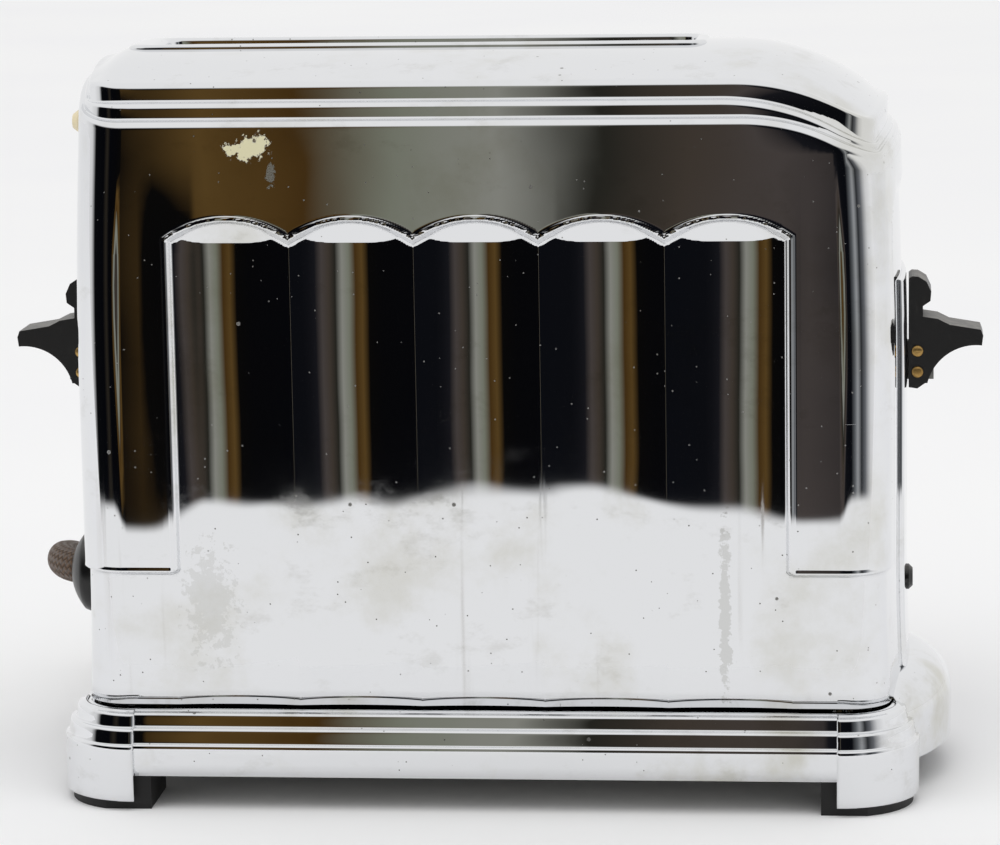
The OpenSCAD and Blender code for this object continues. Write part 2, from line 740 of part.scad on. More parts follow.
// Side view of a handle, measured out from its flat back and up from its lower edge
module handle_outline() {
    s = reach / 18.4;
    v = spine_h / 29;
    difference() {
        polygon([
            [0, 0.3], [2.2, 0], [4.2 * s, 1.4], [18 * s, 1.4 * v], [18.6 * s, 11.2 * v],
            [18.9 * s, 13.6 * v], [18.3 * s, 15.2 * v], [13.4 * s, 16 * v], [10.4 * s, 16.5 * v],
            [7.4 * s, 18 * v], [spine_t, 18.6 * v], [spine_t, 21.3 * v], [spine_t + 1.9, 22.6 * v],
            [spine_t + 2.1, 25 * v], [spine_t + 0.9, 27.6 * v], [2.4, 28.9 * v], [0.8, 29 * v], [0, 28.4 * v]
        ]);
        translate([17.2 * s, -1.6 * v]) circle(12.8 * v, $fn = 64);
    }
}

module handle(side) difference() {
    mirror([side < 0 ? 1 : 0, 0, 0]) translate([face_x, 0, handle_z]) rotate([90, 0, 0])
        linear_extrude(handle_w, center = true) handle_outline();
    translate([side > 0 ? face_x - 1 : -face_x - 6.4, -tongue_t / 2, tongue_z]) cube([7.4, tongue_t, tongue_h]);
    handle_rivets(side);
}

module handle_rivets(side) {
    for (z = [tongue_z + 2.7, tongue_z + 8.1]) translate([side * (face_x + 2.2), 0, z]) rotate([90, 0, 0]) {
        cylinder(d = rivet_d * 0.6, h = handle_w + 0.8, center = true, $fn = 32);
        for (s = [-1, 1]) translate([0, 0, s * (handle_w / 2 + 0.3)]) cylinder(d = rivet_d, h = 1, center = true, $fn = 32);
    }
}

module handle_left() color("black") handle(-1);
module handle_right() color("black") handle(1);

// Spur gear with straight flanked teeth
module gear(teeth, m, h, bore) {
    step = 360 / teeth;
    root = m * (teeth / 2 - 1.1);
    tip = m * (teeth / 2 + 0.6);
    difference() {
        linear_extrude(h) polygon([for (k = [0 : teeth - 1]) each [
            [root * cos((k - 0.33) * step), root * sin((k - 0.33) * step)],
            [tip * cos((k - 0.1) * step), tip * sin((k - 0.1) * step)],
            [tip * cos((k + 0.1) * step), tip * sin((k + 0.1) * step)],
            [root * cos((k + 0.33) * step), root * sin((k + 0.33) * step)]
        ]]);
        translate([0, 0, -1]) cylinder(d = bore, h = h + 2, $fn = 48);
    }
}

// Places children on a shaft along Y at [x, z], starting at y and turned by a
module on_shaft(x, z, y, a) translate([x, y, z]) rotate([-90, 0, 0]) rotate([0, 0, a]) children();

module timer_frame() color("slategray") {
    difference() {
        union() {
            for (y = [-frame_half - plate_t, frame_half])
                translate([frame_x0, y, floor_top]) cube([frame_x1 - frame_x0, plate_t, frame_top - floor_top]);
            translate([frame_x0, -frame_half - plate_t, frame_top - eps])
                cube([lever_rod_x + 3.6 - frame_x0, 2 * (frame_half + plate_t), plate_t + eps]);
            for (x = [frame_x0 + 4, frame_x1 - 4], z = [floor_top + 5, frame_top - 5])
                translate([x, 0, z]) rotate([90, 0, 0]) cylinder(d = 3.6, h = 2 * frame_half + eps, center = true, $fn = 32);
        }
        for (p = [[arbor_x, arbor_z], [fly_x, fly_z]])
            translate([p[0], 0, p[1]]) rotate([90, 0, 0])
                cylinder(d = arbor_d + 2 * run_gap, h = 60, center = true, $fn = 48);
    }
}

module lever_rod() color("lightgray")
    translate([lever_rod_x, 0, floor_top]) cylinder(d = lever_rod_d, h = frame_top - floor_top);

// Sliding rack that the right handle pushes down to wind the timer
module winding_slider() color("peru") {
    pitch = PI * gear_module;
    face = lever_rod_x - lever_block_w / 2;
    first = arbor_z - lever_block_z;
    difference() {
        union() {
            translate([face, -lever_block_half, lever_block_z])
                cube([lever_block_w, 2 * lever_block_half, lever_block_h]);
            translate([lever_rod_x + lever_block_w / 2 - eps, -tongue_t / 2, tongue_z])
                cube([face_x + 6.4 - lever_rod_x - lever_block_w / 2 + eps, tongue_t, tongue_h]);
        }
        handle_rivets(1);
        translate([lever_rod_x, 0, lever_block_z - 1])
            cylinder(d = lever_rod_d + 2 * run_gap, h = lever_block_h + 2);
        for (k = [-4 : 20]) {
            z = arbor_z + k * pitch;
            if (z > lever_block_z + 1 && z < lever_block_z + lever_block_h - 1) {
                translate([0, 0, z]) rotate([90, 0, 0]) linear_extrude(2 * lever_block_half + 2, center = true)
                    polygon([[face - 1, -0.36 * pitch], [face + 1.1 * gear_module, -0.17 * pitch],
                        [face + 1.1 * gear_module, 0.17 * pitch], [face - 1, 0.36 * pitch]]);
            }
        }
    }
}

module spring_barrel() color("goldenrod") {
    on_shaft(arbor_x, arbor_z, -frame_half - plate_t - 1, 0)
        cylinder(d = arbor_d, h = 2 * (frame_half + plate_t) + 2, $fn = 48);
    on_shaft(arbor_x, arbor_z, -lever_block_half + 0.4, 0)
        gear(pinion_teeth, gear_module, 2 * lever_block_half - 0.8, arbor_d - 0.1);
    on_shaft(arbor_x, arbor_z, lever_block_half + 0.6, 0) difference() {
        cylinder(d = barrel_d, h = 7);
        for (k = [0 : 4]) rotate([0, 0, k * 72]) translate([8.6, 0, -1]) cylinder(d = 4, h = 9, $fn = 32);
    }
}

// A tooth of the great wheel points at the governor's arbor, seen from the rear
module great_wheel() color("gold") {
    on_shaft(arbor_x, arbor_z, -lever_block_half - 3, -train_turn) difference() {
        gear(great_teeth, gear_module, 2, arbor_d - 0.1);
        for (k = [0 : 4]) rotate([0, 0, k * 72]) translate([9, 0, -1]) cylinder(d = 6, h = 4, $fn = 32);
    }
}

module governor_wheel() color("gold") {
    on_shaft(fly_x, fly_z, -frame_half - plate_t - 1, 0)
        cylinder(d = arbor_d, h = 2 * (frame_half + plate_t) + 2, $fn = 48);
    on_shaft(fly_x, fly_z, -lever_block_half - 3.4, 180 - train_turn + 180 / small_teeth)
        gear(small_teeth, gear_module, 2.8, arbor_d - 0.1);
    on_shaft(fly_x, fly_z, -frame_half + 1.4, 0) difference() {
        cylinder(d = fly_d, h = 2.4);
        for (k = [0 : 2]) rotate([0, 0, k * 120]) translate([5, 0, -1]) cylinder(d = 4.4, h = 5, $fn = 32);
    }
}

module browning_knob() color("black") translate([0, knob_y, knob_z]) rotate([0, 90, 0]) {
    outer = low_x + frame_proud - 1.2;
    translate([0, 0, outer]) cylinder(d = knob_d, h = 1.6, $fn = 48);
    translate([0, 0, outer + 1.6 - eps]) cylinder(d1 = knob_d, d2 = knob_d - 2, h = 1, $fn = 48);
    translate([0, 0, half_x - 8]) cylinder(d = 3, h = outer - half_x + 8 + eps, $fn = 48);
    translate([0, 0, half_x - 9.4]) cylinder(d = 6, h = 2, $fn = 48);
}

module release_button() color("ivory") translate([0, button_y, button_z]) rotate([0, -90, 0]) {
    stem = half_x - 8;
    translate([0, 0, stem]) cylinder(d = button_d, h = 8.4, $fn = 48);
    translate([0, 0, stem + 8.4 - eps]) cylinder(d1 = button_d, d2 = button_d - 2.4, h = 1.6, $fn = 48);
    translate([0, 0, stem - 1]) cylinder(d = button_d + 2.4, h = 1.4, $fn = 48);
}

// Flat latch spring that bears on the right slider when the carriage is down
module latch_spring() color("steelblue") {
    lug_x = right_rod_x;
    y0 = block_half + 3.4 + clear;
    translate([lug_x - 3, y0, floor_top]) cube([6, 0.6, 22]);
    translate([lug_x - 3, y0, floor_top]) cube([6, 6, 0.8]);
}

module terminal_block() color("white") difference() {
    translate([lead_x - 6, -9, cover_z + cover_t]) cube([12, 18, 10]);
    for (s = [-1, 1]) {
        translate([lead_x, s * lead_y, cover_z + 4]) cylinder(d = lead_d, h = 20, $fn = 32);
        translate([lead_x, s * lead_y, cover_z + 5]) rotate([0, -90, 0]) cylinder(d = 3, h = 20, $fn = 32);
    }
}

// Insulated leads from the gland down past the slider to the terminals
module inner_leads() color("saddlebrown") for (s = [-1, 1]) {
    inner = low_x - 2.8;
    translate([lead_x, s * lead_y, cover_z + 4]) cylinder(d = lead_d, h = gland_z - cover_z - 4, $fn = 32);
    translate([lead_x, s * lead_y, gland_z]) sphere(d = lead_d, $fn = 32);
    translate([-inner, s * lead_y, gland_z]) rotate([0, 90, 0]) cylinder(d = lead_d, h = inner + lead_x, $fn = 32);
}

module cord_gland() color("black") {
    difference() {
        union() {
            intersection() {
                translate([-low_x - gland_reach + gland_cap_r, 0, gland_z]) sphere(gland_cap_r);
                translate([-low_x - gland_reach - 1, 0, gland_z]) rotate([0, 90, 0])
                    cylinder(d = gland_d, h = gland_reach + 2);
            }
            translate(cord_exit) rotate([0, 90, 180 - gland_tilt]) translate([0, 0, -9])
                cylinder(d = cord_d + 3.4, h = 9);
        }
        level(half_x, half_y, corner_r, base_h, crest_z, 0);
    }
    translate([-low_x - 2, 0, gland_z]) rotate([0, 90, 0]) cylinder(d = spigot_d, h = 4.8);
}

// Unit vector and a smooth curve through hand placed points
function unit(v) = v / norm(v);
function blend_point(a, b, c, d, s) =
    0.5 * (2 * b + (c - a) * s + (2 * a - 5 * b + 4 * c - d) * s * s + (3 * b - a - 3 * c + d) * s * s * s);
function smooth(p, per) = concat([for (i = [0 : len(p) - 2]) for (k = [0 : per - 1])
    blend_point(p[max(i - 1, 0)], p[i], p[i + 1], p[min(i + 2, len(p) - 1)], k / per)], [p[len(p) - 1]]);
function along(p, i) = unit(p[min(i + 1, len(p) - 1)] - p[max(i - 1, 0)]);
function square_to(n, t) = unit(n - (n * t) * t);
function side_list(p, first) = [for (i = 0, n = square_to(first, along(p, 0)); i < len(p);
    i = i + 1, n = i < len(p) ? square_to(n, along(p, i)) : n) n];

// Tube of round section along a list of points
module tube(path, d, sides, first) {
    rings = len(path);
    n = side_list(path, first);
    points = [for (i = [0 : rings - 1]) let (t = along(path, i), b = cross(t, n[i])) for (k = [0 : sides - 1])
        path[i] + d / 2 * (cos(360 * k / sides) * n[i] + sin(360 * k / sides) * b)];
    walls = [for (i = [0 : rings - 2]) for (k = [0 : sides - 1])
        [i * sides + k, (i + 1) * sides + k, (i + 1) * sides + (k + 1) % sides, i * sides + (k + 1) % sides]];
    caps = [[for (k = [0 : sides - 1]) k], [for (k = [sides - 1 : -1 : 0]) (rings - 1) * sides + k]];
    polyhedron(points, concat(walls, caps), convexity = 8);
}

// The coil spirals in and out, one layer behind the other
function layer_of(t) = min(floor(t / coil_run), coil_layers - 1);
function coil_radius(t) = let (k = layer_of(t), s = t - k * coil_run)
    k % 2 == 0 ? coil_out - coil_pitch * s : coil_in + coil_pitch * s;
function climb(t) = min(max((t + 0.25) / 0.5, 0), 1);
function ease(s) = s * s * (3 - 2 * s);
function coil_depth(t) = coil_y + coil_pitch * (ease(climb(t - coil_run)) + ease(climb(t - 2 * coil_run))
    + ease(climb(t - 3 * coil_run)));
function coil_point(t) = [coil_c[0] + coil_radius(t) * cos(360 * t - 90), coil_depth(t),
    coil_c[1] + coil_radius(t) * sin(360 * t - 90)];
coil_steps = ceil(coil_turns * 24);
coil_core = [for (i = [0 : coil_steps]) coil_point(coil_turns * i / coil_steps)];
coil_path = concat([coil_core[0] - [cord_d, 0, 0]], coil_core, [coil_core[coil_steps] - [0, 0, cord_d]]);
coil_gap = min([for (i = [0 : coil_steps]) for (j = [i + 12 : 1 : coil_steps])
    norm(coil_core[i] - coil_core[j])]) - cord_d;
echo(coil_gap_to_itself = coil_gap);

module cord_lead() color("saddlebrown") tube(smooth(lead_points, 2), cord_d, 10, [0, 0, 1]);
module cord_tail() color("saddlebrown") tube(smooth(tail_points, 2), cord_d, 10, [1, 0, 0]);
module cord_coil() color("saddlebrown") tube(coil_path, cord_d, 6, [0, 0, 1]);

module coil_tie() color("black") {
    wide = coil_pitch * (coil_layers - 1) + cord_d + 0.6;
    tall = coil_out - coil_in + cord_d + 0.6;
    translate([coil_c[0], coil_y + coil_pitch * (coil_layers - 1) / 2, coil_c[1] + coil_mid])
        rotate([90, 0, 90]) linear_extrude(5, center = true) difference() {
            round_rect(wide + 1.6, tall + 1.6, 3.4);
            round_rect(wide, tall, 2.6);
        }
}

module plug_body() color("black") translate(plug_c) rotate([0, -90, 0]) {
    cylinder(d = 10.4, h = 10);
    translate([0, 0, 10 - eps]) cylinder(d1 = 12, d2 = 26, h = 7);
    translate([0, 0, 17 - 2 * eps]) difference() {
        cylinder(d = 26, h = 17);
        translate([0, 0, 16]) cylinder(d = 21, h = 2);
    }
}

module plug_blades() color("goldenrod") translate(plug_c) for (s = [-1, 1]) {
    translate([-50, s * 6.35 - 0.8, -3.2]) cube([17.1, 1.6, 6.4]);
}

module handle_left_rivets() color("goldenrod") handle_rivets(-1);
module handle_right_rivets() color("goldenrod") handle_rivets(1);

body_shell();
slot_rim();
end_plate_left();
end_plate_right();
base_shell();
bottom_cover();
foot_cup_fl();
foot_cup_fr();
foot_cup_rl();
foot_cup_rr();
foot_pad_fl();
foot_pad_fr();
foot_pad_rl();
foot_pad_rr();
cover_screws();
chassis_floor();
well_end_left();
well_end_right();
baffle_front();
baffle_rear();
heater_board_front();
heater_board_rear();
heater_ribbon_front();
heater_ribbon_rear();
guard_front();
guard_rear();
left_rod();
right_rod();
rod_bracket_left();
rod_bracket_right();
lift_spring();
bread_rest();
slider_left();
slider_right();
handle_left();
handle_left_rivets();
timer_frame();
lever_rod();
winding_slider();
handle_right();
handle_right_rivets();
spring_barrel();
great_wheel();
governor_wheel();
browning_knob();
release_button();
latch_spring();
terminal_block();
inner_leads();
cord_gland();
cord_lead();
cord_coil();
coil_tie();
cord_tail();
plug_body();
plug_blades();
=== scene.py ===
# %% [markdown]
# # A chrome pop-up toaster with a clockwork timer
# The measured model of the toaster is loaded first and stays fixed, as the frame that
# every finished piece is fitted to. Each piece that the eye meets is then made again as a
# fine mesh with its own finish: the pressed chrome shell and its stepped base, the
# moulded levers, the braided cord. All sizes are those of the measured model, in
# millimetres, and turned into metres as the last step of making a mesh.

# %% Load the frame
import json
import math
import bmesh
import bpy
import numpy as np
from mathutils import Matrix, Vector
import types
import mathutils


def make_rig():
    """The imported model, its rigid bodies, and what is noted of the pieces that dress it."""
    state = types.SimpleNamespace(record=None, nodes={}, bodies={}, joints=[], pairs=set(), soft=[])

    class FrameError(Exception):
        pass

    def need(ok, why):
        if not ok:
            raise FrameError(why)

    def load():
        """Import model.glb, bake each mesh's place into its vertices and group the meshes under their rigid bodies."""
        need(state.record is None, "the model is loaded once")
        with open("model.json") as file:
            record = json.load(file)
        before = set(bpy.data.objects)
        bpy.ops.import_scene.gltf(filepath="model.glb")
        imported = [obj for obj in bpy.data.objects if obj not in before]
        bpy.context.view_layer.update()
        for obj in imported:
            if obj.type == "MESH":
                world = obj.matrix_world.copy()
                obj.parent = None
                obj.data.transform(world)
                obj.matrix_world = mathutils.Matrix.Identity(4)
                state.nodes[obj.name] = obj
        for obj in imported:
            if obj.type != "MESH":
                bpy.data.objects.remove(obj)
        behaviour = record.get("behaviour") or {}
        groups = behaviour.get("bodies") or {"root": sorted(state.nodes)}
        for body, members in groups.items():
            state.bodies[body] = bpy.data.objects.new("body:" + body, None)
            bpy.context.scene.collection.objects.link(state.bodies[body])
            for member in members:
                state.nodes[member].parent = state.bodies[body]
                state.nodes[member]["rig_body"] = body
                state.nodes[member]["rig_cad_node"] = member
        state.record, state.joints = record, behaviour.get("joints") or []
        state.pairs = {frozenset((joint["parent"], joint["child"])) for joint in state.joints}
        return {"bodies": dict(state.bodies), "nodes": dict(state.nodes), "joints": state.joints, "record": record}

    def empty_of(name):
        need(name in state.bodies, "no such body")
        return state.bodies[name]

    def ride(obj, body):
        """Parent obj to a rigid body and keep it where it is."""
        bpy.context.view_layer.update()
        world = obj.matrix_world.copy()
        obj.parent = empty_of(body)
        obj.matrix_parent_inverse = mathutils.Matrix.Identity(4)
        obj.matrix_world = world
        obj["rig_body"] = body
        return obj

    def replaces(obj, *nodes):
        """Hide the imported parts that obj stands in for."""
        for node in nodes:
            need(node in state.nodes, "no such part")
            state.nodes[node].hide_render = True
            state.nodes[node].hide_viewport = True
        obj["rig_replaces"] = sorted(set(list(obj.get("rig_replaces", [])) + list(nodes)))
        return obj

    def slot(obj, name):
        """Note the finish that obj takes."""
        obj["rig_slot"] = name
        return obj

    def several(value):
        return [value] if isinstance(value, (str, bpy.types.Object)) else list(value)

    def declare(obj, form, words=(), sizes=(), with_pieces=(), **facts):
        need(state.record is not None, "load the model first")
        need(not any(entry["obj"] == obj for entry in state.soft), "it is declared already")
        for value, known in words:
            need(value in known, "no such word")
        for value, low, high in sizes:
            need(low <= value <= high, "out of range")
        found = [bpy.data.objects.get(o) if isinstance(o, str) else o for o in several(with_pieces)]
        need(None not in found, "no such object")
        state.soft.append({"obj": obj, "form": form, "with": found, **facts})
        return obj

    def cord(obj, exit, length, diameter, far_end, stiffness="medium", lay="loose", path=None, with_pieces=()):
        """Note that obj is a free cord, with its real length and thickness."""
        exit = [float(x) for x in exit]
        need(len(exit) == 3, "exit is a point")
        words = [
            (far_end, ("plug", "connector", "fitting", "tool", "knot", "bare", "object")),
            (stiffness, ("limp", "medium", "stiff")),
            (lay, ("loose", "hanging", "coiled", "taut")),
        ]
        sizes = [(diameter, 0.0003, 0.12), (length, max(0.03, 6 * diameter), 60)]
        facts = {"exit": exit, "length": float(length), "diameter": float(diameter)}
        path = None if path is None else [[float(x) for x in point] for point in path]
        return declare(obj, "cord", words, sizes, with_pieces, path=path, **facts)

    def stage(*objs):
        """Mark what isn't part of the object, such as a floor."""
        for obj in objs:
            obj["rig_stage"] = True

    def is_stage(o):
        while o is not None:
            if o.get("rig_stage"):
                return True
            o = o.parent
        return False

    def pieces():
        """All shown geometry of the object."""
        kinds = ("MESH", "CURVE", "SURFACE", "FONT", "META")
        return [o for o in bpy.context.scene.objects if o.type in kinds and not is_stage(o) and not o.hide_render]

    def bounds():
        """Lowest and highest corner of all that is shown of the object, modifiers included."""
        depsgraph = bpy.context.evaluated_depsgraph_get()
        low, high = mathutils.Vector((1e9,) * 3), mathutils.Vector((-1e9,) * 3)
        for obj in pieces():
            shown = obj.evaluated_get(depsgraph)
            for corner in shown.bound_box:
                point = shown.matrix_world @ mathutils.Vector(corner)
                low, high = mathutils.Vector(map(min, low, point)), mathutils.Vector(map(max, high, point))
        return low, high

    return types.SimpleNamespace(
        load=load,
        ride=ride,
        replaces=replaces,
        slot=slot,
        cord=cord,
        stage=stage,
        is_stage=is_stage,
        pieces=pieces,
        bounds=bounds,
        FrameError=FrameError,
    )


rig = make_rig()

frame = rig.load()
cad_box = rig.bounds()
scene = bpy.context.scene
scene.view_settings.view_transform = "Standard"
print("frame:", len(frame["nodes"]), "nodes,", len(frame["bodies"]), "bodies")

# %% [markdown]
# ## The camera
# The photograph was taken with a long lens from a little above and a little to the right.
# The values below came from matching some forty points of the object, such as the feet,
# the steps of the base and the ends of the flutes.

# %% Place the camera
AZIMUTH, ELEVATION, ROLL = (math.radians(a) for a in (5.65, 10.02, -0.95))
DISTANCE = 1.0453
TARGET = np.array([0.00038, 0.0, 0.08974])
FOCAL_PX = 4011.2

back = np.array([math.sin(AZIMUTH) * math.cos(ELEVATION),
                 -math.cos(AZIMUTH) * math.cos(ELEVATION), math.sin(ELEVATION)])
level_right = np.array([math.cos(AZIMUTH), math.sin(AZIMUTH), 0.0])
level_up = np.cross(back, level_right)
right = math.cos(ROLL) * level_right + math.sin(ROLL) * level_up
up = math.cos(ROLL) * level_up - math.sin(ROLL) * level_right

lens = bpy.data.cameras.new("camera")
lens.sensor_fit = "HORIZONTAL"
lens.sensor_width = 36.0
lens.lens = FOCAL_PX * 36.0 / 1000.0
lens.clip_start = 0.02
camera = bpy.data.objects.new("camera", lens)
scene.collection.objects.link(camera)
place = Matrix.Identity(4)
for row in range(3):
    place[row][0], place[row][1], place[row][2] = right[row], up[row], back[row]
    place[row][3] = TARGET[row] + DISTANCE * back[row]
camera.matrix_world = place
scene.camera = camera
print("camera at", [round(place[r][3], 4) for r in range(3)], "lens", round(lens.lens, 1))

# %% [markdown]
# ## Helpers for meshes
# Most pieces here are a grid of points, made row by row from a rule. A grid that closes on
# itself both ways is a hollow ring, such as the shell with its inner face. One that closes
# one way and is capped is a bar or a thin plate. The volume's sign tells if the faces
# point outwards, and the order is turned round where they don't.

# %% Grids of points to meshes
def add_object(name, verts, faces, mm=True):
    mesh = bpy.data.meshes.new(name)
    scale = 0.001 if mm else 1.0
    mesh.from_pydata((np.asarray(verts, float) * scale).tolist(), [], [list(f) for f in faces])
    mesh.validate()
    mesh.shade_smooth()
    obj = bpy.data.objects.new(name, mesh)
    scene.collection.objects.link(obj)
    return obj


def grid_faces(rows, cols, wrap_rows, wrap_cols):
    i, j = np.meshgrid(np.arange(rows if wrap_rows else rows - 1),
                       np.arange(cols if wrap_cols else cols - 1), indexing="ij")
    i2, j2 = (i + 1) % rows, (j + 1) % cols
    return np.stack([i * cols + j, i * cols + j2, i2 * cols + j2, i2 * cols + j], -1).reshape(-1, 4)


def turned_out(points, faces):
    flat = np.asarray(points, float).reshape(-1, 3)
    a, b, c = (flat[[f[k] for f in faces]] for k in (0, 1, 2))
    volume = np.einsum("ij,ij->i", np.cross(a, b), c).sum()
    d = flat[[f[-1] for f in faces]]
    volume += np.einsum("ij,ij->i", np.cross(a, c), d).sum()
    return [list(f)[::-1] for f in faces] if volume < 0 else [list(f) for f in faces]


def ring_mesh(points):
    """Rows that close on themselves both ways."""
    points = np.asarray(points, float)
    faces = turned_out(points, grid_faces(points.shape[0], points.shape[1], True, True).tolist())
    return points.reshape(-1, 3), faces


def plate_mesh(front, rear):
    """A sheet between two grids of the same size, closed all round."""
    points = np.concatenate([front, rear[::-1]], 0)
    rows, cols = points.shape[:2]
    half = rows // 2
    faces = grid_faces(rows, cols, True, False).tolist()
    for i in range(half - 1):
        j = rows - 1 - i
        faces.append([i * cols, (i + 1) * cols, (j - 1) * cols, j * cols])
        faces.append([i * cols + cols - 1, j * cols + cols - 1,
                      (j - 1) * cols + cols - 1, (i + 1) * cols + cols - 1])
    return points.reshape(-1, 3), turned_out(points, faces)


def lathe_mesh(profile, sides, origin, axis, first):
    """A closed turned form: profile is (along, radius), and its ends lie on the axis."""
    axis, first = np.asarray(axis, float), np.asarray(first, float)
    second = np.cross(axis, first)
    turn = np.arange(sides) * 2 * np.pi / sides
    round_ = np.cos(turn)[:, None] * first + np.sin(turn)[:, None] * second
    inner = np.array(profile[1:-1], float)
    rings = inner[:, 0, None, None] * axis + inner[:, 1, None, None] * round_
    ends = np.array([profile[0][0] * axis, profile[-1][0] * axis])
    verts = np.concatenate([rings.reshape(-1, 3), ends]) + np.asarray(origin, float)
    faces = grid_faces(len(inner), sides, False, True).tolist()
    low, high, last = len(verts) - 2, len(verts) - 1, (len(inner) - 1) * sides
    for k in range(sides):
        n = (k + 1) % sides
        faces.append([k, low, n])
        faces.append([last + k, last + n, high])
    return verts, turned_out(verts, faces)


def joined(*parts):
    """Several closed meshes as one list of points and faces."""
    verts, faces, count = [], [], 0
    for v, f in parts:
        verts.append(np.asarray(v, float))
        faces.extend([[k + count for k in face] for face in f])
        count += len(v)
    return np.concatenate(verts), faces


def arc(cx, cz, r, start, end, steps):
    """Points of an arc, angles in degrees."""
    return [(cx + r * math.cos(math.radians(a)), cz + r * math.sin(math.radians(a)))
            for a in np.linspace(start, end, steps)]


# %% [markdown]
# ## Helpers for finishes
# A finish is a small tree of nodes. One helper adds a node, sets its fields and links or
# fills its sockets, and another gives a Principled surface. Colours are written as the
# hex values that a screen shows, and turned into the linear ones that the nodes want.

# %% One helper for every node
def hex_colour(code):
    parts = [int(code[k:k + 2], 16) / 255 for k in (0, 2, 4)]
    return tuple(c / 12.92 if c <= 0.04045 else ((c + 0.055) / 1.055) ** 2.4 for c in parts) + (1.0,)


def put(tree, kind, sockets=None, **fields):
    node = tree.nodes.new(kind)
    for key, value in fields.items():
        setattr(node, key, value)
    for key, value in (sockets or {}).items():
        if isinstance(value, bpy.types.NodeSocket):
            tree.links.new(value, node.inputs[key])
        else:
            node.inputs[key].default_value = value
    return node


def new_finish(name, colour, rough, metal=0.0):
    mat = bpy.data.materials.new(name)
    mat.use_nodes = True
    tree = mat.node_tree
    skin = tree.nodes["Principled BSDF"]
    skin.inputs["Base Color"].default_value = hex_colour(colour)
    skin.inputs["Roughness"].default_value = rough
    skin.inputs["Metallic"].default_value = metal
    return mat, tree, skin


def object_point(tree, scale=(1, 1, 1), shift=(0, 0, 0)):
    coords = put(tree, "ShaderNodeTexCoord")
    return put(tree, "ShaderNodeMapping", {0: coords.outputs["Object"], 1: shift, 3: scale}).outputs[0]


def grain(tree, point, scale, detail=4.0, rough=0.55, low=0.0, high=1.0, out=(0.0, 1.0)):
    """Noise at a scale in cells a metre, spread from low..high to out."""
    noise = put(tree, "ShaderNodeTexNoise", {"Vector": point, "Scale": scale, "Detail": detail,
                                             "Roughness": rough})
    spread = put(tree, "ShaderNodeMapRange", {0: noise.outputs[0], 1: low, 2: high,
                                              3: out[0], 4: out[1]}, interpolation_type="SMOOTHSTEP")
    return spread.outputs[0]


def between(tree, factor, one, two):
    """A mix of two colours by a factor."""
    mix = put(tree, "ShaderNodeMix", {0: factor}, data_type="RGBA")
    for slot_no, value in ((6, one), (7, two)):
        if isinstance(value, bpy.types.NodeSocket):
            tree.links.new(value, mix.inputs[slot_no])
        else:
            mix.inputs[slot_no].default_value = hex_colour(value)
    return mix.outputs[2]


def number(tree, kind, one, two=0.0, three=0.0):
    return put(tree, "ShaderNodeMath", {0: one, 1: two, 2: three}, operation=kind).outputs[0]


def bumped(tree, skin, height, distance, strength=1.0, after=None):
    sockets = {"Height": height, "Distance": distance, "Strength": strength}
    if after is not None:
        sockets["Normal"] = after
    bump = put(tree, "ShaderNodeBump", sockets)
    tree.links.new(bump.outputs[0], skin.inputs["Normal"])
    return bump.outputs[0]


# %% [markdown]
# ## The cord
# A round lead with a brown braided cover leaves the gland at the left end, turns back
# round the corner and runs behind the toaster, where its spare length is wound into a
# flat coil that stands against the rear of the shell, and it ends in a round black plug.
# It is one tube along one smooth line, because a real lead is one piece, and its braid
# follows the tube by a map of its own: once round, and metres along.

# %% The line of the cord
CORD_D = 6.2
COIL_MIDDLE, COIL_FACE, COIL_PITCH = (68.0, 58.4), 57.9, 6.8
COIL_LAYERS, COIL_TURNS, COIL_RADIUS = 4, 5.75, 31.5
LAYER_TURNS = COIL_TURNS / COIL_LAYERS
INNER_R = COIL_RADIUS - COIL_PITCH * LAYER_TURNS / 2
OUTER_R = INNER_R + COIL_PITCH * LAYER_TURNS
LEAD = [(-114.5, 5.5, 50), (-117.2, 8.7, 50), (-119.4, 13.8, 50), (-120.5, 22, 49.4),
        (-119.6, 36, 46.6), (-114.5, 52, 40), (-105, 65, 30), (-91, 74, 18), (-74, 78, 8),
        (-54, 78, 3.4), (-32, 76, 3.2), (-8, 72, 3.3), (14, 66, 6.4), (34, 60, 13),
        (48, 58.1, 18.6), (55, 57.9, 21.2), (61.8, 57.9, 22)]
TAIL = [(31.6, 78.3, 52.2), (31.6, 78.3, 46), (31.4, 79, 40), (29.6, 82, 27), (24, 87, 14),
        (12, 92, 5.6), (-6, 95, 3.3), (-26, 96, 3.3), (-44, 96, 5.6), (-56, 96, 10),
        (-64, 96, 12.6), (-72, 96, 13)]


def smooth_line(points, per):
    """A curve through given points."""
    p = [np.array(q, float) for q in points]
    line = []
    for i in range(len(p) - 1):
        a, b, c, d = p[max(i - 1, 0)], p[i], p[i + 1], p[min(i + 2, len(p) - 1)]
        for s in np.arange(per) / per:
            line.append(0.5 * (2 * b + (c - a) * s + (2 * a - 5 * b + 4 * c - d) * s * s
                               + (3 * b - a - 3 * c + d) * s ** 3))
    return line + [p[-1]]


def climb(t):
    s = min(max((t + 0.25) / 0.5, 0.0), 1.0)
    return s * s * (3 - 2 * s)


def coil_point(t):
    layer = min(int(t / LAYER_TURNS), COIL_LAYERS - 1)
    s = COIL_PITCH * (t - layer * LAYER_TURNS)
    r = OUTER_R - s if layer % 2 == 0 else INNER_R + s
    depth = COIL_FACE + COIL_PITCH * sum(climb(t - k * LAYER_TURNS) for k in (1, 2, 3))
    a = math.radians(360 * t - 90)
    return np.array([COIL_MIDDLE[0] + r * math.cos(a), depth, COIL_MIDDLE[1] + r * math.sin(a)])


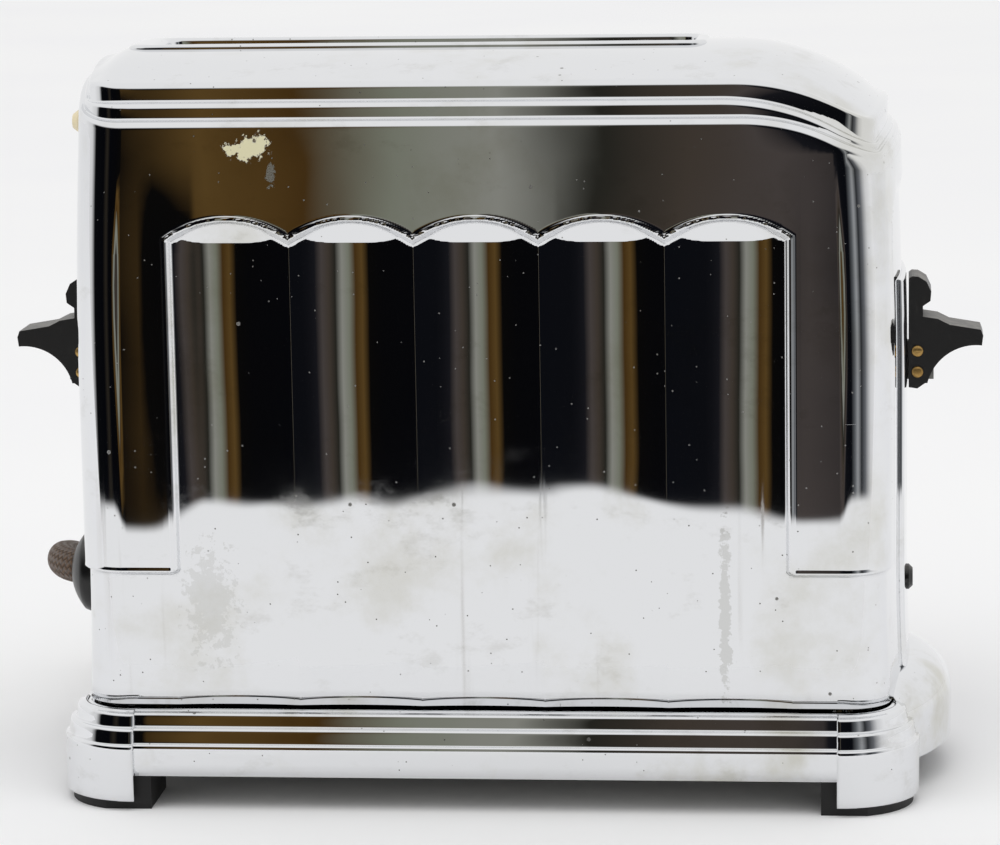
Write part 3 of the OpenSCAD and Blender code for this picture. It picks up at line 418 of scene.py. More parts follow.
coil_line = [coil_point(t) for t in np.linspace(0, COIL_TURNS, int(COIL_TURNS * 36) + 1)]
rough_line = smooth_line(LEAD, 4)[:-1] + coil_line + smooth_line(TAIL, 4)[1:]
cord_line = [rough_line[0]]
for point in rough_line[1:]:
    if np.linalg.norm(point - cord_line[-1]) > 1.2:
        cord_line.append(point)
cord_line = np.array(cord_line)
steps = np.linalg.norm(np.diff(cord_line, axis=0), axis=1)
cord_length = steps.sum()
print("cord:", len(cord_line), "points,", round(cord_length / 1000, 3), "m")


# %% Tubes along a line
def tube_mesh(line, radii, sides, first):
    """A tube with round ends, and where each ring lies along it."""
    line = np.asarray(line, float)
    along = np.gradient(line, axis=0)
    along /= np.linalg.norm(along, axis=1)[:, None]
    side = np.array(first, float)
    rings = []
    turn = np.arange(sides) * 2 * np.pi / sides
    for here, way, r in zip(line, along, np.broadcast_to(radii, len(line))):
        side = side - way * side.dot(way)
        side /= np.linalg.norm(side)
        other = np.cross(way, side)
        rings.append(here + r * (np.cos(turn)[:, None] * side + np.sin(turn)[:, None] * other))
    rings = np.array(rings)
    verts = np.concatenate([rings.reshape(-1, 3), line[:1], line[-1:]])
    faces = grid_faces(len(line), sides, False, True).tolist()
    last = (len(line) - 1) * sides
    for k in range(sides):
        n = (k + 1) % sides
        faces.append([k, len(verts) - 2, n])
        faces.append([last + k, last + n, len(verts) - 1])
    return verts, turned_out(verts, faces), np.concatenate([[0], np.cumsum(
        np.linalg.norm(np.diff(line, axis=0), axis=1))])


def map_tube(obj, sides, along_mm, diameter):
    """Once round the tube is one unit, and along it a unit is as long as once round."""
    layer = obj.data.uv_layers.new(name="braid")
    around_mm = math.pi * diameter
    rings = len(along_mm)
    for poly in obj.data.polygons:
        ks = [v % sides for v in poly.vertices if v < rings * sides]
        wraps = max(ks) - min(ks) > 1
        for loop in poly.loop_indices:
            v = obj.data.loops[loop].vertex_index
            if v >= rings * sides:
                ring, k = (0 if v == rings * sides else rings - 1), sum(ks) / len(ks)
            else:
                ring, k = v // sides, v % sides
            if wraps and k == 0:
                k = sides
            layer.data[loop].uv = (k / sides, along_mm[ring] / around_mm)


verts, faces, along_mm = tube_mesh(cord_line, CORD_D / 2, 14, (0, 0, 1))
cord = add_object("power_cord", verts, faces)
map_tube(cord, 14, along_mm, CORD_D)
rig.ride(cord, "toaster")
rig.slot(cord, "cloth")
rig.replaces(cord, "cord_lead", "cord_coil", "cord_tail")
print("cord tube:", len(cord.data.polygons), "faces")

# %% [markdown]
# ## The plan of the shell
# Seen from above, the shell is a rectangle with round corners and ends that bow outwards.
# Every level of it is the same list of columns: along the front, round a corner, along an
# end, and so on, so that all levels can be joined row by row. Columns stand close together
# where something happens, such as the ridges between flutes.

# %% Columns round the shell
END_BOW = 217.0
FLUTE_PITCH, FLUTE_EDGE = 31.0, 77.5
RIDGES = [FLUTE_PITCH * (k - 1.5) for k in range(4)]


def side_columns(spacing):
    spots = set(np.round(np.linspace(-80, 80, int(160 / spacing) + 1), 3))
    for x in RIDGES:
        spots = {s for s in spots if abs(s - x) > 0.35} | {x - 0.3, x - 0.1, x, x + 0.1, x + 0.3}
    for x in (-FLUTE_EDGE, FLUTE_EDGE):
        spots = {s for s in spots if abs(s - x) > 2.4}
        spots |= set(np.round(x + np.linspace(-2.25, 2.25, 19), 3))
    return np.array(sorted(spots))


FRONT_X, REAR_X = side_columns(0.6), side_columns(1.2)
SIDE_REST = np.array([0.2, 0.45, 0.7, 0.9])
CORNER = np.linspace(0, 1, 18)[1:-1]
END_Y = np.linspace(-34, 34, 35)
END_REST = np.array([0.15, 0.3, 0.36, 0.41, 0.46, 0.52, 0.6, 0.8])


def plan_point(part, value, xe, ye, r):
    """A point of the outline and the way it faces. part is front, corner, end and so on."""
    centre_x = xe - END_BOW + math.sqrt((END_BOW - r) ** 2 - (ye - r) ** 2)
    meet = math.asin((ye - r) / (END_BOW - r))
    if part == "side":
        reach = abs(value) - 80
        x = value if reach <= 0 else math.copysign(80 + (centre_x - 80) * reach / 10, value)
        return x, -ye, 0.0, -1.0
    if part == "corner":
        a = -math.pi / 2 + value * (math.pi / 2 - meet)
        return centre_x + r * math.cos(a), -(ye - r) + r * math.sin(a), math.cos(a), math.sin(a)
    top = END_BOW * math.sin(meet)
    y = value
    if abs(value) > 34:
        y = math.copysign(34 + (top - 34) * (abs(value) - 34) / 10, value)
    a = math.asin(y / END_BOW)
    return xe - END_BOW + END_BOW * math.cos(a), y, math.cos(a), math.sin(a)


def columns():
    """(part, value, mirrored across x, mirrored across y) for each column, once round."""
    rest = 80 + 10 * SIDE_REST
    end = np.concatenate([-34 - 10 * END_REST[::-1], END_Y, 34 + 10 * END_REST])
    end = np.concatenate([[-44.0], end, [44.0]])
    front = np.concatenate([[-90.0], -rest[::-1], FRONT_X, rest, [90.0]])
    rear = np.concatenate([[-90.0], -rest[::-1], REAR_X, rest, [90.0]])
    out = [("side", v, 1, 1) for v in front]
    out += [("corner", v, 1, 1) for v in CORNER]
    out += [("end", v, 1, 1) for v in end]
    out += [("corner", v, 1, -1) for v in CORNER[::-1]]
    out += [("side", -v, 1, -1) for v in rear]
    out += [("corner", v, -1, -1) for v in CORNER]
    out += [("end", v, -1, -1) for v in end]
    out += [("corner", v, -1, 1) for v in CORNER[::-1]]
    return out


COLUMNS = columns()


def outline(xe, ye, r):
    """Points and outward directions of one level, one for each column."""
    rows = []
    for part, value, mx, my in COLUMNS:
        x, y, nx, ny = plan_point(part, value, xe, ye, r)
        rows.append((x * mx, y * my, nx * mx, ny * my))
    return np.array(rows)


IS_FRONT = np.array([c[0] == "side" for c in COLUMNS])
IS_END = np.array([c[0] == "end" for c in COLUMNS])
print("shell:", len(COLUMNS), "columns")

# %% [markdown]
# ## The walls of the shell
# The press formed the wall in one go: five shallow hollow flutes on each long side, each
# closed by a hooded arch at the top, and a raised frame round them that stands out a
# little more than a millimetre. The frame's edge is rolled to a small round lip. A mirror
# shows each tenth of a degree of slope, so the depths and slopes were matched to what the
# photograph's wall reflects: a flute under a millimetre deep, a hood that leans out by
# fifteen degrees, a wall that leans back a little near its ends. The rule below gives how
# far the wall stands out from its plain form at any spot.

# %% How far the wall stands out
FRAME_OUT, FRAME_FOOT = 1.2, 60.2
FLUTE_DEEP, ARCH_R, ARCH_Z = 0.95, 26.5, 123.2
HOOD_FOOT, HOOD_SLOPE, HOOD_ENDS = 143.8, 0.27, 4.0
LEAN = 0.003
MID_Z, MID_REACH, BOW_DIVISOR, FOOT_FLARE = 105.2, 104.8, 2000.0, 0.9
WALL_Y, WALL_R = 50.0, 10.8
RECESS_HALF, RECESS_TOP, RECESS_R = 37.0, 152.2, 12.0
LIP, LIP_HALF = 0.5, 1.0


def soft_step(v, width):
    t = np.clip(v / width + 0.5, 0, 1)
    return t * t * (3 - 2 * t)


def side_relief(x, z):
    """Front and rear: frame, rolled lip and flutes."""
    flute = np.clip(np.floor((x + FLUTE_EDGE) / FLUTE_PITCH), 0, 4)
    middle = FLUTE_PITCH * (flute - 2)
    t = (x - middle) / (FLUTE_PITCH / 2)
    from_side = np.abs(x) - FLUTE_EDGE
    from_arch = np.where(z > ARCH_Z, np.hypot(x - middle, z - ARCH_Z) - ARCH_R, -9.0)
    outside = np.maximum(from_side, from_arch)
    from_edge = np.minimum(outside, z - FRAME_FOOT)
    frame_share = soft_step(z - FRAME_FOOT, 1.6)
    bead = np.where(np.abs(from_edge) < LIP_HALF, (1 - (from_edge / LIP_HALF) ** 2) ** 2, 0.0)
    bead = bead * np.where(outside < z - FRAME_FOOT, LIP, 0.2)
    hollow = -FLUTE_DEEP * (1 - np.minimum(t * t, 1))
    hollow = hollow + HOOD_SLOPE * np.maximum(z - HOOD_FOOT - HOOD_ENDS * t ** 4, 0)
    hood = FRAME_OUT - np.maximum(-from_arch - 0.5, 0) * 1.2
    cheek = FRAME_OUT * frame_share - np.maximum(-from_side - 0.9, 0) * 2 - (1 - frame_share) * 3
    inside = np.maximum(hollow, np.maximum(np.where(z > ARCH_Z, hood, -9.0), cheek))
    flat = FRAME_OUT * soft_step(from_edge, 1.0)
    leaning = np.clip((x - 20) / 60, 0, 1) + np.clip((-x - 70) / 12, 0, 1)
    return np.where(outside > 0, flat, inside) + bead - LEAN * leaning * np.clip(
        np.minimum(z - FRAME_FOOT, 2.4 * (WALL_TOP - z)), 0, None)


def end_relief(y, z):
    """Ends: the frame round an arch topped recess."""
    qy = np.maximum(np.abs(y) - (RECESS_HALF - RECESS_R), 0)
    qz = np.maximum(z - (RECESS_TOP - RECESS_R), 0)
    out = np.where(z > RECESS_TOP - RECESS_R, np.hypot(qy, qz) - RECESS_R, np.abs(y) - RECESS_HALF)
    from_edge = np.minimum(out, z - FRAME_FOOT)
    bead = np.where(np.abs(from_edge) < 0.9, (1 - (from_edge / 0.9) ** 2) ** 2, 0.0) * 0.25
    return FRAME_OUT * soft_step(from_edge, 1.0) + bead


def end_reach(z):
    """Half length of the plain wall: bowed above mid height, straight below, flared at the foot."""
    bow = np.maximum(z - MID_Z, 0) ** 2 / BOW_DIVISOR
    return MID_REACH - bow + FOOT_FLARE * (np.maximum(60 - z, 0) / 34) ** 2


def wall_row(level, inner=False):
    p = outline(end_reach(level), WALL_Y, WALL_R)
    z = np.full(len(p), level)
    if level > WALL_FREE:
        top = np.minimum(first_ledge()[0] - 2.3, WALL_TOP)
        z = WALL_FREE + (level - WALL_FREE) * (top - WALL_FREE) / (WALL_TOP - WALL_FREE)
    from_foot = z - FRAME_FOOT
    plain = FRAME_OUT * soft_step(from_foot, 1.0) + 0.2 * np.maximum(0.0, 1 - from_foot ** 2) ** 2
    h = np.where(IS_FRONT, side_relief(p[:, 0], z), np.where(IS_END, end_relief(p[:, 1], z), plain))
    if inner:
        behind_flutes = IS_FRONT & (np.abs(p[:, 0]) < 79)
        h = np.where(behind_flutes, -4.5, np.minimum(h, 0.0) - 1.0)
    return np.stack([p[:, 0] + h * p[:, 2], p[:, 1] + h * p[:, 3], z], -1)


# %% [markdown]
# ## The stepped top
# Above the frame two rounded ledges lead up to the crown. The crown is an arc across the
# depth, and at the control end it rolls down in a second arc, the ledges with it. So the
# height of each ledge is a rule of its own, and the profile between the ledges is drawn
# once, as steps inwards from one outline to the next.

# %% Heights of the crown and the ledges
ARCH = 140.0
WALL_FREE, WALL_TOP = 151.6, 165.0


def drop(x, start, r):
    d = np.clip(x - start, 0, r * 0.98)
    return r - np.sqrt(r * r - d * d)


def across(y):
    return ARCH - np.sqrt(ARCH * ARCH - y * y)


def crown_z(x, y):
    return 189.1 - across(y) - drop(x, 62, 55) - drop(-x, 90, 12)


def upper_ledge_z(x, y):
    return 185.3 - across(y) - drop(x, 60, 60) - drop(-x, 90, 20)


def lower_ledge_z(x, y):
    return 182.4 - across(y) - drop(x, 65, 54)


def slot_outline():
    """Where the crown ends at the slot's rim, one point for each column."""
    rows = []
    half, corner, y_half = 69.7, 4.2, 10.7
    for part, value, mx, my in COLUMNS:
        v = value * (mx if part == "side" else 1)
        if part == "side":
            edge_l, edge_r = -16.5 - half + corner, -16.5 + half - corner
            x = np.interp(v, [-90, -78, 45, 90], [edge_l, -78, 45, edge_r])
            rows.append((x, -y_half * my))
        elif part == "corner":
            a = -math.pi / 2 + v * math.pi / 2
            x = half - corner + corner * math.cos(a)
            rows.append((-16.5 + mx * x, my * (-(y_half - corner) + corner * math.sin(a))))
        else:
            rows.append((-16.5 + mx * half, my * (y_half - corner) * v / 44.0))
    return np.array(rows)


def first_ledge():
    """Height of the lower ledge at each column, and the two outlines it lies between."""
    wall_top = outline(end_reach(172.0) + FRAME_OUT, 51.2, 12.0)
    upper = outline(102.2, 46.6, 10.0)
    low_at = wall_top[:, :2] + (upper[:, :2] - wall_top[:, :2]) * 0.65
    return lower_ledge_z(low_at[:, 0], low_at[:, 1]), wall_top, upper


def top_rows():
    z1, wall_top, upper = first_ledge()
    crown = outline(101.0, 43.3, 8.5)
    mid_at = upper[:, :2] + (crown[:, :2] - upper[:, :2]) * 0.6
    z2 = np.maximum(upper_ledge_z(mid_at[:, 0], mid_at[:, 1]), z1 + 1.6)
    tight = np.clip(1 - 0.5 * (np.abs(wall_top[:, 0]) - 85) / 16, 0.5, 1)
    slot_edge = slot_outline()
    rows = []

    def at(d):
        if d >= 46.6:
            return upper[:, :2] + (wall_top[:, :2] - upper[:, :2]) * (d - 46.6) / 4.6
        return crown[:, :2] + (upper[:, :2] - crown[:, :2]) * (d - 43.3) / 3.3

    def add(d, z):
        rows.append(np.concatenate([at(d), z[:, None]], 1))

    for d, rise in arc(49.2, -2.0, 2.0, 0, 90, 8):
        add(d, z1 + rise)
    for d in (48.6, 48.0):
        add(d, z1)
    for d, rise in arc(47.4, 0.8, 0.8, 270, 180, 5):
        add(d, z1 + rise * tight)
    for d, rise in arc(44.9, -1.7, 1.7, 0, 90, 8):
        add(d, z2 + rise * tight)
    for d, rise in arc(44.1, 0.8, 0.8, 270, 180, 5):
        add(d, z2 + rise * tight)
    edge = crown_z(crown[:, 0] * 0.98, crown[:, 1] * 0.95)
    edge = np.maximum(edge, z2 + 2.2)
    for share in (0.0, 0.16, 0.33, 0.5, 0.66, 0.83, 1.0):
        a = math.radians(73 * share)
        inward = 2.2 * (1 - math.cos(a)) / (43.3 - 10.7)
        xy = crown[:, :2] + (slot_edge - crown[:, :2]) * inward
        rows.append(np.concatenate([xy, (edge - 2.1 * tight * (1 - math.sin(a)))[:, None]], 1))
    start = rows[-1]
    rule = crown_z(start[:, 0], start[:, 1])
    offset = start[:, 2] - rule
    for s in np.linspace(0, 1, 25)[1:] ** 1.15:
        xy = start[:, :2] + (slot_edge - start[:, :2]) * s
        z = crown_z(xy[:, 0], xy[:, 1]) + offset * max(0.0, 1 - s / 0.2) ** 2
        rows.append(np.concatenate([xy, z[:, None]], 1))
    return rows


# %% Build the shell
wall_z = np.concatenate([
    np.linspace(26.2, 57, 9)[:-1], np.linspace(57, 63.4, 17)[:-1], np.linspace(63.4, 141, 11)[:-1],
    np.linspace(141, 152, 41)[:-1], np.linspace(152, 165, 5)])
outer = [wall_row(z) for z in wall_z] + top_rows()
inner = []
for row in (outer[-1], outer[-12], outer[-24]):
    inner.append(row - np.array([0, 0, 1.0]))
for z in (165.0, 140.0, 90.0, 60.0, 26.2):
    inner.append(wall_row(z, inner=True))
verts, faces = ring_mesh(np.array(outer + inner))
shell = add_object("chrome_shell", verts, faces)
print("shell:", len(outer), "outer rows,", len(faces) * 2, "triangles")

# %% [markdown]
# The upright cuts that the levers slide in, and the holes of the button and the gland, are
# punched after pressing, so they are cut from the finished sheet here as well.

# %% Punch the openings
def box_mesh(low, high):
    xs, ys, zs = zip(low, high)
    verts = [(x, y, z) for x in xs for y in ys for z in zs]
    faces = [(0, 1, 3, 2), (4, 6, 7, 5), (0, 4, 5, 1), (2, 3, 7, 6), (0, 2, 6, 4), (1, 5, 7, 3)]
    return np.array(verts, float), turned_out(verts, faces)


def bar_mesh(x0, x1, y, z, r, sides=40):
    return lathe_mesh([(x0, 0), (x0, r), (x1, r), (x1, 0)], sides, (0, y, z), (1, 0, 0), (0, 1, 0))


def punch(obj, *cutters):
    tool = add_object("tool", *joined(*cutters))
    cut = obj.modifiers.new("cut", "BOOLEAN")
    cut.operation, cut.solver, cut.object = "DIFFERENCE", "MANIFOLD", tool
    settle(obj)
    bpy.data.objects.remove(tool)


def settle(obj):
    """Turns an object with modifiers into a plain mesh."""
    graph = bpy.context.evaluated_depsgraph_get()
    mesh = bpy.data.meshes.new_from_object(obj.evaluated_get(graph))
    obj.modifiers.clear()
    obj.data = mesh
    mesh.name = obj.name


SLOT_LOW, SLOT_HIGH = 63.0, 111.8
punch(shell, box_mesh((96, -1.6, SLOT_LOW), (112, 1.6, SLOT_HIGH)),
      box_mesh((-112, -1.6, SLOT_LOW), (-96, 1.6, SLOT_HIGH)),
      bar_mesh(-112, -94, 0, 50.0, 7.05), bar_mesh(-112, -94, -8, 170.0, 3.2),
      bar_mesh(94, 112, -8, 51.0, 1.6))
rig.ride(shell, "toaster")
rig.slot(shell, "chrome")
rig.replaces(shell, "body_shell")
print("shell after punching:", len(shell.data.polygons), "faces")

# %% [markdown]
# ## The base
# The base is a second pressing: a plain wall, a thin ledge and two rolled mouldings that
# step in to the shell. A round column at each corner carries a foot, and a domed apron
# closes the gap under the control end. Every level is the wall's outline moved inwards,
# so one list of steps draws the whole moulding.

# %% Steps of the base
STEPS = [(0, 9.0), (0, 12.0), (0, 14.5), (0, 15.9), (0.04, 16.45), (0.17, 16.85), (0.45, 17.05),
         (0.8, 17.1), (0.9, 17.25), (0.98, 17.6), (1.09, 18.3), (1.21, 19.1), (1.33, 19.9),
         (1.44, 20.35), (1.62, 20.68), (1.9, 20.9), (2.3, 21.0), (2.75, 21.05), (2.88, 21.2),
         (2.97, 21.6), (3.08, 22.3), (3.21, 23.1), (3.33, 23.75), (3.48, 24.15), (3.75, 24.4),
         (4.1, 24.52), (4.5, 24.57), (4.8, 24.7), (5.2, 25.1), (5.6, 25.2)]
BASE_X, BASE_Y, BASE_R = 107.7, 56.0, 18.0
FOOT_X, FOOT_Y, FOOT_R = 89.3, 37.6, 19.7


def base_outline(step):
    """A rectangle with round corners, moved in by step."""
    cx, cy, r = BASE_X - BASE_R, BASE_Y - BASE_R, max(BASE_R - step, 2.0)
    cx, cy = min(cx, BASE_X - step - r), min(cy, BASE_Y - step - r)
    side = np.linspace(-cx, cx, 40)
    end = np.linspace(-cy, cy, 20)
    turn = np.radians(np.linspace(0, 90, 20)[1:-1])
    c, s = r * np.cos(turn), r * np.sin(turn)
    parts = [np.stack([side, np.full(40, -cy - r)], 1), np.stack([cx + s, -cy - c], 1),
             np.stack([np.full(20, cx + r), end], 1), np.stack([cx + c, cy + s], 1),
             np.stack([-side, np.full(40, cy + r)], 1), np.stack([-cx - s, cy + c], 1),
             np.stack([np.full(20, -cx - r), -end], 1), np.stack([-cx - c, -cy - s], 1)]
    return np.concatenate(parts)


def base_ring():
    rows = [np.insert(base_outline(e), 2, z, axis=1) for e, z in STEPS]
    for e, z in ((8.0, 25.2), (9.8, 25.2), (9.9, 26.25), (18.0, 26.25), (18.1, 25.2), (24.0, 25.2),
                 (24.0, 23.8), (6.0, 23.8), (4.5, 22.0), (2.6, 19.0), (1.4, 15.6), (1.4, 9.0)):
        rows.append(np.insert(base_outline(e), 2, z, axis=1))
    return ring_mesh(np.array(rows))


def foot_column(mx, my):
    """A sector of a turned column, cut off on its two flat sides."""
    profile = [(0.25, 2.5), (0.0, 2.8), (0, 5.0), (0, 9.0)] + STEPS[1:]

    def sector(e, z, thick):
        r = FOOT_R - e - thick
        low = -math.pi / 2 - math.asin(0.8 / r)
        high = math.asin(1.1 / r)
        a = np.linspace(low, high, 34)
        x, y = FOOT_X + r * np.cos(a), r * np.sin(a) - FOOT_Y
        return np.stack([mx * x, my * y, np.full(34, z)], 1)

    front = np.array([sector(e, z, 0) for e, z in profile])
    rear = np.array([sector(e, z - (0.9 if z > 16 else 0), 1.4) for e, z in profile])
    return plate_mesh(front, rear)


def apron():
    """The domed apron: a turned form about an upright axis inside the toaster."""
    cx, r_out, rim, rr = 55.0, 62.5, 19.8, 10.5
    profile = [(r_out - 0.2, 9.0), (r_out, 9.3), (r_out, 13), (r_out, 17), (r_out, 19.0)]
    profile += arc(r_out - rr, rim, rr, 0, 90, 22) + [(50.5, rim + rr), (49, rim + rr)]
    a = np.radians(np.linspace(-38, 38, 60))

    def turned(r, z):
        return np.stack([cx + r * np.cos(a), r * np.sin(a), np.full(60, z)], 1)

    front = np.array([turned(r, z) for r, z in profile])
    rear = np.array([turned(r - 1.2, z - (1.2 if z > 26 else 0)) for r, z in profile])
    return plate_mesh(front, rear)


feet = [foot_column(mx, my) for mx in (-1, 1) for my in (-1, 1)]
base = add_object("stepped_base", *joined(base_ring(), *feet, apron()))
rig.ride(base, "toaster")
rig.slot(base, "chrome")
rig.replaces(base, "base_shell", "foot_cup_fl", "foot_cup_fr", "foot_cup_rl", "foot_cup_rr")
print("base:", len(base.data.polygons), "faces")

# %% [markdown]
# ## The rim of the slot
# The bread slot is edged by a drawn rim with a rolled top. Both its outlines are
# rectangles with round corners, so a profile is drawn once between them and carried round.

# %% Build the rim
def round_rect(x_mid, half_x, half_y, r, corner=12, side=30, end=6):
    a = np.radians(np.linspace(0, 90, corner)[1:-1])
    c, s = r * np.cos(a), r * np.sin(a)
    cx, cy = half_x - r, half_y - r
    xs, ys = np.linspace(-cx, cx, side), np.linspace(-cy, cy, end)
    pts = [np.stack([xs, np.full(side, -half_y)], 1), np.stack([cx + s, -cy - c], 1),
           np.stack([np.full(end, half_x), ys], 1), np.stack([cx + c, cy + s], 1),
           np.stack([-xs, np.full(side, half_y)], 1), np.stack([-cx - s, cy + c], 1),
           np.stack([np.full(end, -half_x), -ys], 1), np.stack([-cx - c, -cy - s], 1)]
    return np.concatenate(pts) + np.array([x_mid, 0.0])


slot_in = round_rect(-16.5, 68.5, 9.5, 3.0)
rim_out = round_rect((-93 + 55.5) / 2, (55.5 + 93) / 2, 11.9, 5.0)
rim_rows = []
for share, z in ((0, 182.0), (0, 185.0), (0, 188.6), (0.03, 189.0), (0.1, 189.35), (0.22, 189.6),
                 (0.4, 189.7), (0.6, 189.7), (0.78, 189.62), (0.9, 189.4), (0.97, 189.05),
                 (1.0, 188.6), (1.0, 187.7), (0.5, 187.4), (0.25, 187.0), (0.2, 185.0), (0.2, 182.0)):
    xy = slot_in + (rim_out - slot_in) * share
    if 1.0 > share and z < 187.2 and share > 0:
        xy = round_rect(-16.5, 69.5, 10.5, 4.0)
    rim_rows.append(np.insert(xy, 2, z, axis=1))
rim = add_object("slot_rim_rolled", *ring_mesh(np.array(rim_rows)))
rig.ride(rim, "toaster")
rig.slot(rim, "chrome")
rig.replaces(rim, "slot_rim")

# %% [markdown]
# ## End plates
# A bright plate stands in the recess of each end, bowed as the end is, with the lever's
# cut down its middle. Its edges are rounded over, so it is a fine grid that sinks at its
# border, and the cut is punched as in the shell.

# %% Build the end plates
def end_plate(side):
    ys = np.concatenate([[-20, -19.93, -19.75, -19.5, -19.1], np.linspace(-18.5, 18.5, 38),
                         [19.1, 19.5, 19.75, 19.93, 20]])
    zs = np.concatenate([np.linspace(26.3, 128.5, 40), [128.9, 129.3, 129.6, 129.8, 129.9]])
    front, rear = [], []
    for z in zs:
        border = np.minimum(20 - np.abs(ys), 129.9 - z)
        sink = np.where(border < 1.0, 1.0 - np.sqrt(np.clip(1 - (1 - border) ** 2, 0, 1)), 0.0)
        xe = end_reach(z) + FRAME_OUT
        x = xe - END_BOW + np.sqrt(END_BOW ** 2 - ys ** 2)
        front.append(np.stack([side * (x - 1.0 * sink), ys, np.full(len(ys), z)], 1))
        rear.append(np.stack([side * (x - 1.25), ys, np.full(len(ys), z)], 1))
    return plate_mesh(np.array(front), np.array(rear))


for side, word in ((-1, "left"), (1, "right")):
    plate = add_object("bright_plate_" + word, *end_plate(side))
    cutters = [box_mesh((side * 109 - 8, -1.6, SLOT_LOW), (side * 109 + 8, 1.6, SLOT_HIGH))]
    if side < 0:
        cutters.append(bar_mesh(-112, -94, 0, 50.0, 7.05))
    else:
        cutters.append(bar_mesh(94, 112, -8, 51.0, 1.6))
    punch(plate, *cutters)
    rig.ride(plate, "toaster")
    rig.slot(plate, "chrome")
    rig.replaces(plate, "end_plate_" + word)

# %% [markdown]
# ## Moulded and turned pieces from the frame
# The levers, the knob, the button and the plug already have the right shape in the measured model.
# What they lack is a softened edge. So their triangles are copied, merged, cleaned of
# needless edges and given a small bevel with smooth shading, as a mould leaves them.

# %% Soften an edge of a copied piece
def softened(node, name, width, segments=3, angle=32):
    mesh = frame["nodes"][node].data.copy()
    mesh.name = name
    work = bmesh.new()
    work.from_mesh(mesh)
    bmesh.ops.remove_doubles(work, verts=work.verts, dist=2e-6)
    bmesh.ops.dissolve_limit(work, angle_limit=math.radians(0.8), verts=work.verts, edges=work.edges)
    for face in work.faces:
        face.smooth = True
    work.to_mesh(mesh)
    work.free()
    mesh.materials.clear()
    obj = bpy.data.objects.new(name, mesh)
    scene.collection.objects.link(obj)
    bevel = obj.modifiers.new("bevel", "BEVEL")
    bevel.width = width / 1000.0
    bevel.segments = segments
    bevel.limit_method = "ANGLE"
    bevel.angle_limit = math.radians(angle)
    bevel.harden_normals = False
    tidy = obj.modifiers.new("normals", "WEIGHTED_NORMAL")
    tidy.keep_sharp = True
    settle(obj)
    return obj


def finish_piece(obj, node, slot_name):
    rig.ride(obj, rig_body[node])
    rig.slot(obj, slot_name)
    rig.replaces(obj, node)


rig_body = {n: o["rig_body"] for n, o in frame["nodes"].items()}
for node, name, width, slot_name in (
        ("handle_left", "lever_left", 0.7, "bakelite"),
        ("handle_right", "lever_right", 0.7, "bakelite"),
        ("browning_knob", "control_knob", 0.25, "bakelite"),
        ("release_button", "cream_button", 0.6, "cream"),
        ("plug_body", "plug_moulding", 0.8, "bakelite"),
        ("plug_blades", "plug_pins", 0.25, "brass")):
    finish_piece(softened(node, name, width), node, slot_name)
    print(name, "made")

# %% [markdown]
# ## Gland and strain relief
# The cord leaves through a black domed gland. Behind the dome a short braided sleeve grips
# the cord and tapers off along it, so that it bends gently where it leaves.

# %% Build the gland and the sleeve
gland_profile = [(-103.0, 0), (-103.0, 7.0), (-105.7, 7.0), (-105.75, 10.2), (-105.9, 10.6),
                 (-106.2, 10.8), (-107.6, 10.8), (-108.9, 10.78), (-109.35, 10.6)]
for a in np.linspace(42.0, 3.0, 14):
    gland_profile.append((-98.5 - 15.5 * math.cos(math.radians(a)), 15.5 * math.sin(math.radians(a))))
gland_profile.append((-114.0, 0))
gland = add_object("domed_gland", *lathe_mesh(gland_profile, 64, (0, 0, 50.0), (1, 0, 0), (0, 1, 0)))
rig.ride(gland, "toaster")
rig.slot(gland, "bakelite")
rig.replaces(gland, "cord_gland")

sleeve_line = [np.array([-110.6, 2.6, 50.0]), np.array([-112.6, 3.9, 50.0])] + smooth_line(LEAD[:6], 5)
sleeve_line = np.array(sleeve_line)
run = np.concatenate([[0], np.cumsum(np.linalg.norm(np.diff(sleeve_line, axis=0), axis=1))])
sleeve_line = sleeve_line[run < 36]
run = run[run < 36]
taper = np.interp(run, [0, 12, 34, 36], [4.5, 4.35, 3.5, 3.3])
verts, faces, along_mm = tube_mesh(sleeve_line, taper, 28, (0, 0, 1))
sleeve = add_object("strain_relief", verts, faces)
map_tube(sleeve, 28, along_mm, 8.0)
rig.ride(sleeve, "toaster")
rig.slot(sleeve, "cloth")
print("sleeve:", round(float(run[-1]), 1), "mm long")

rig.cord(cord, exit=[c / 1000 for c in LEAD[0]], length=round(cord_length / 1000, 3),
        diameter=CORD_D / 1000, far_end="plug", stiffness="medium", lay="coiled", path=(cord_line / 1000).tolist(),
        with_pieces=["plug_moulding", "plug_pins", sleeve, "coil_tie"])
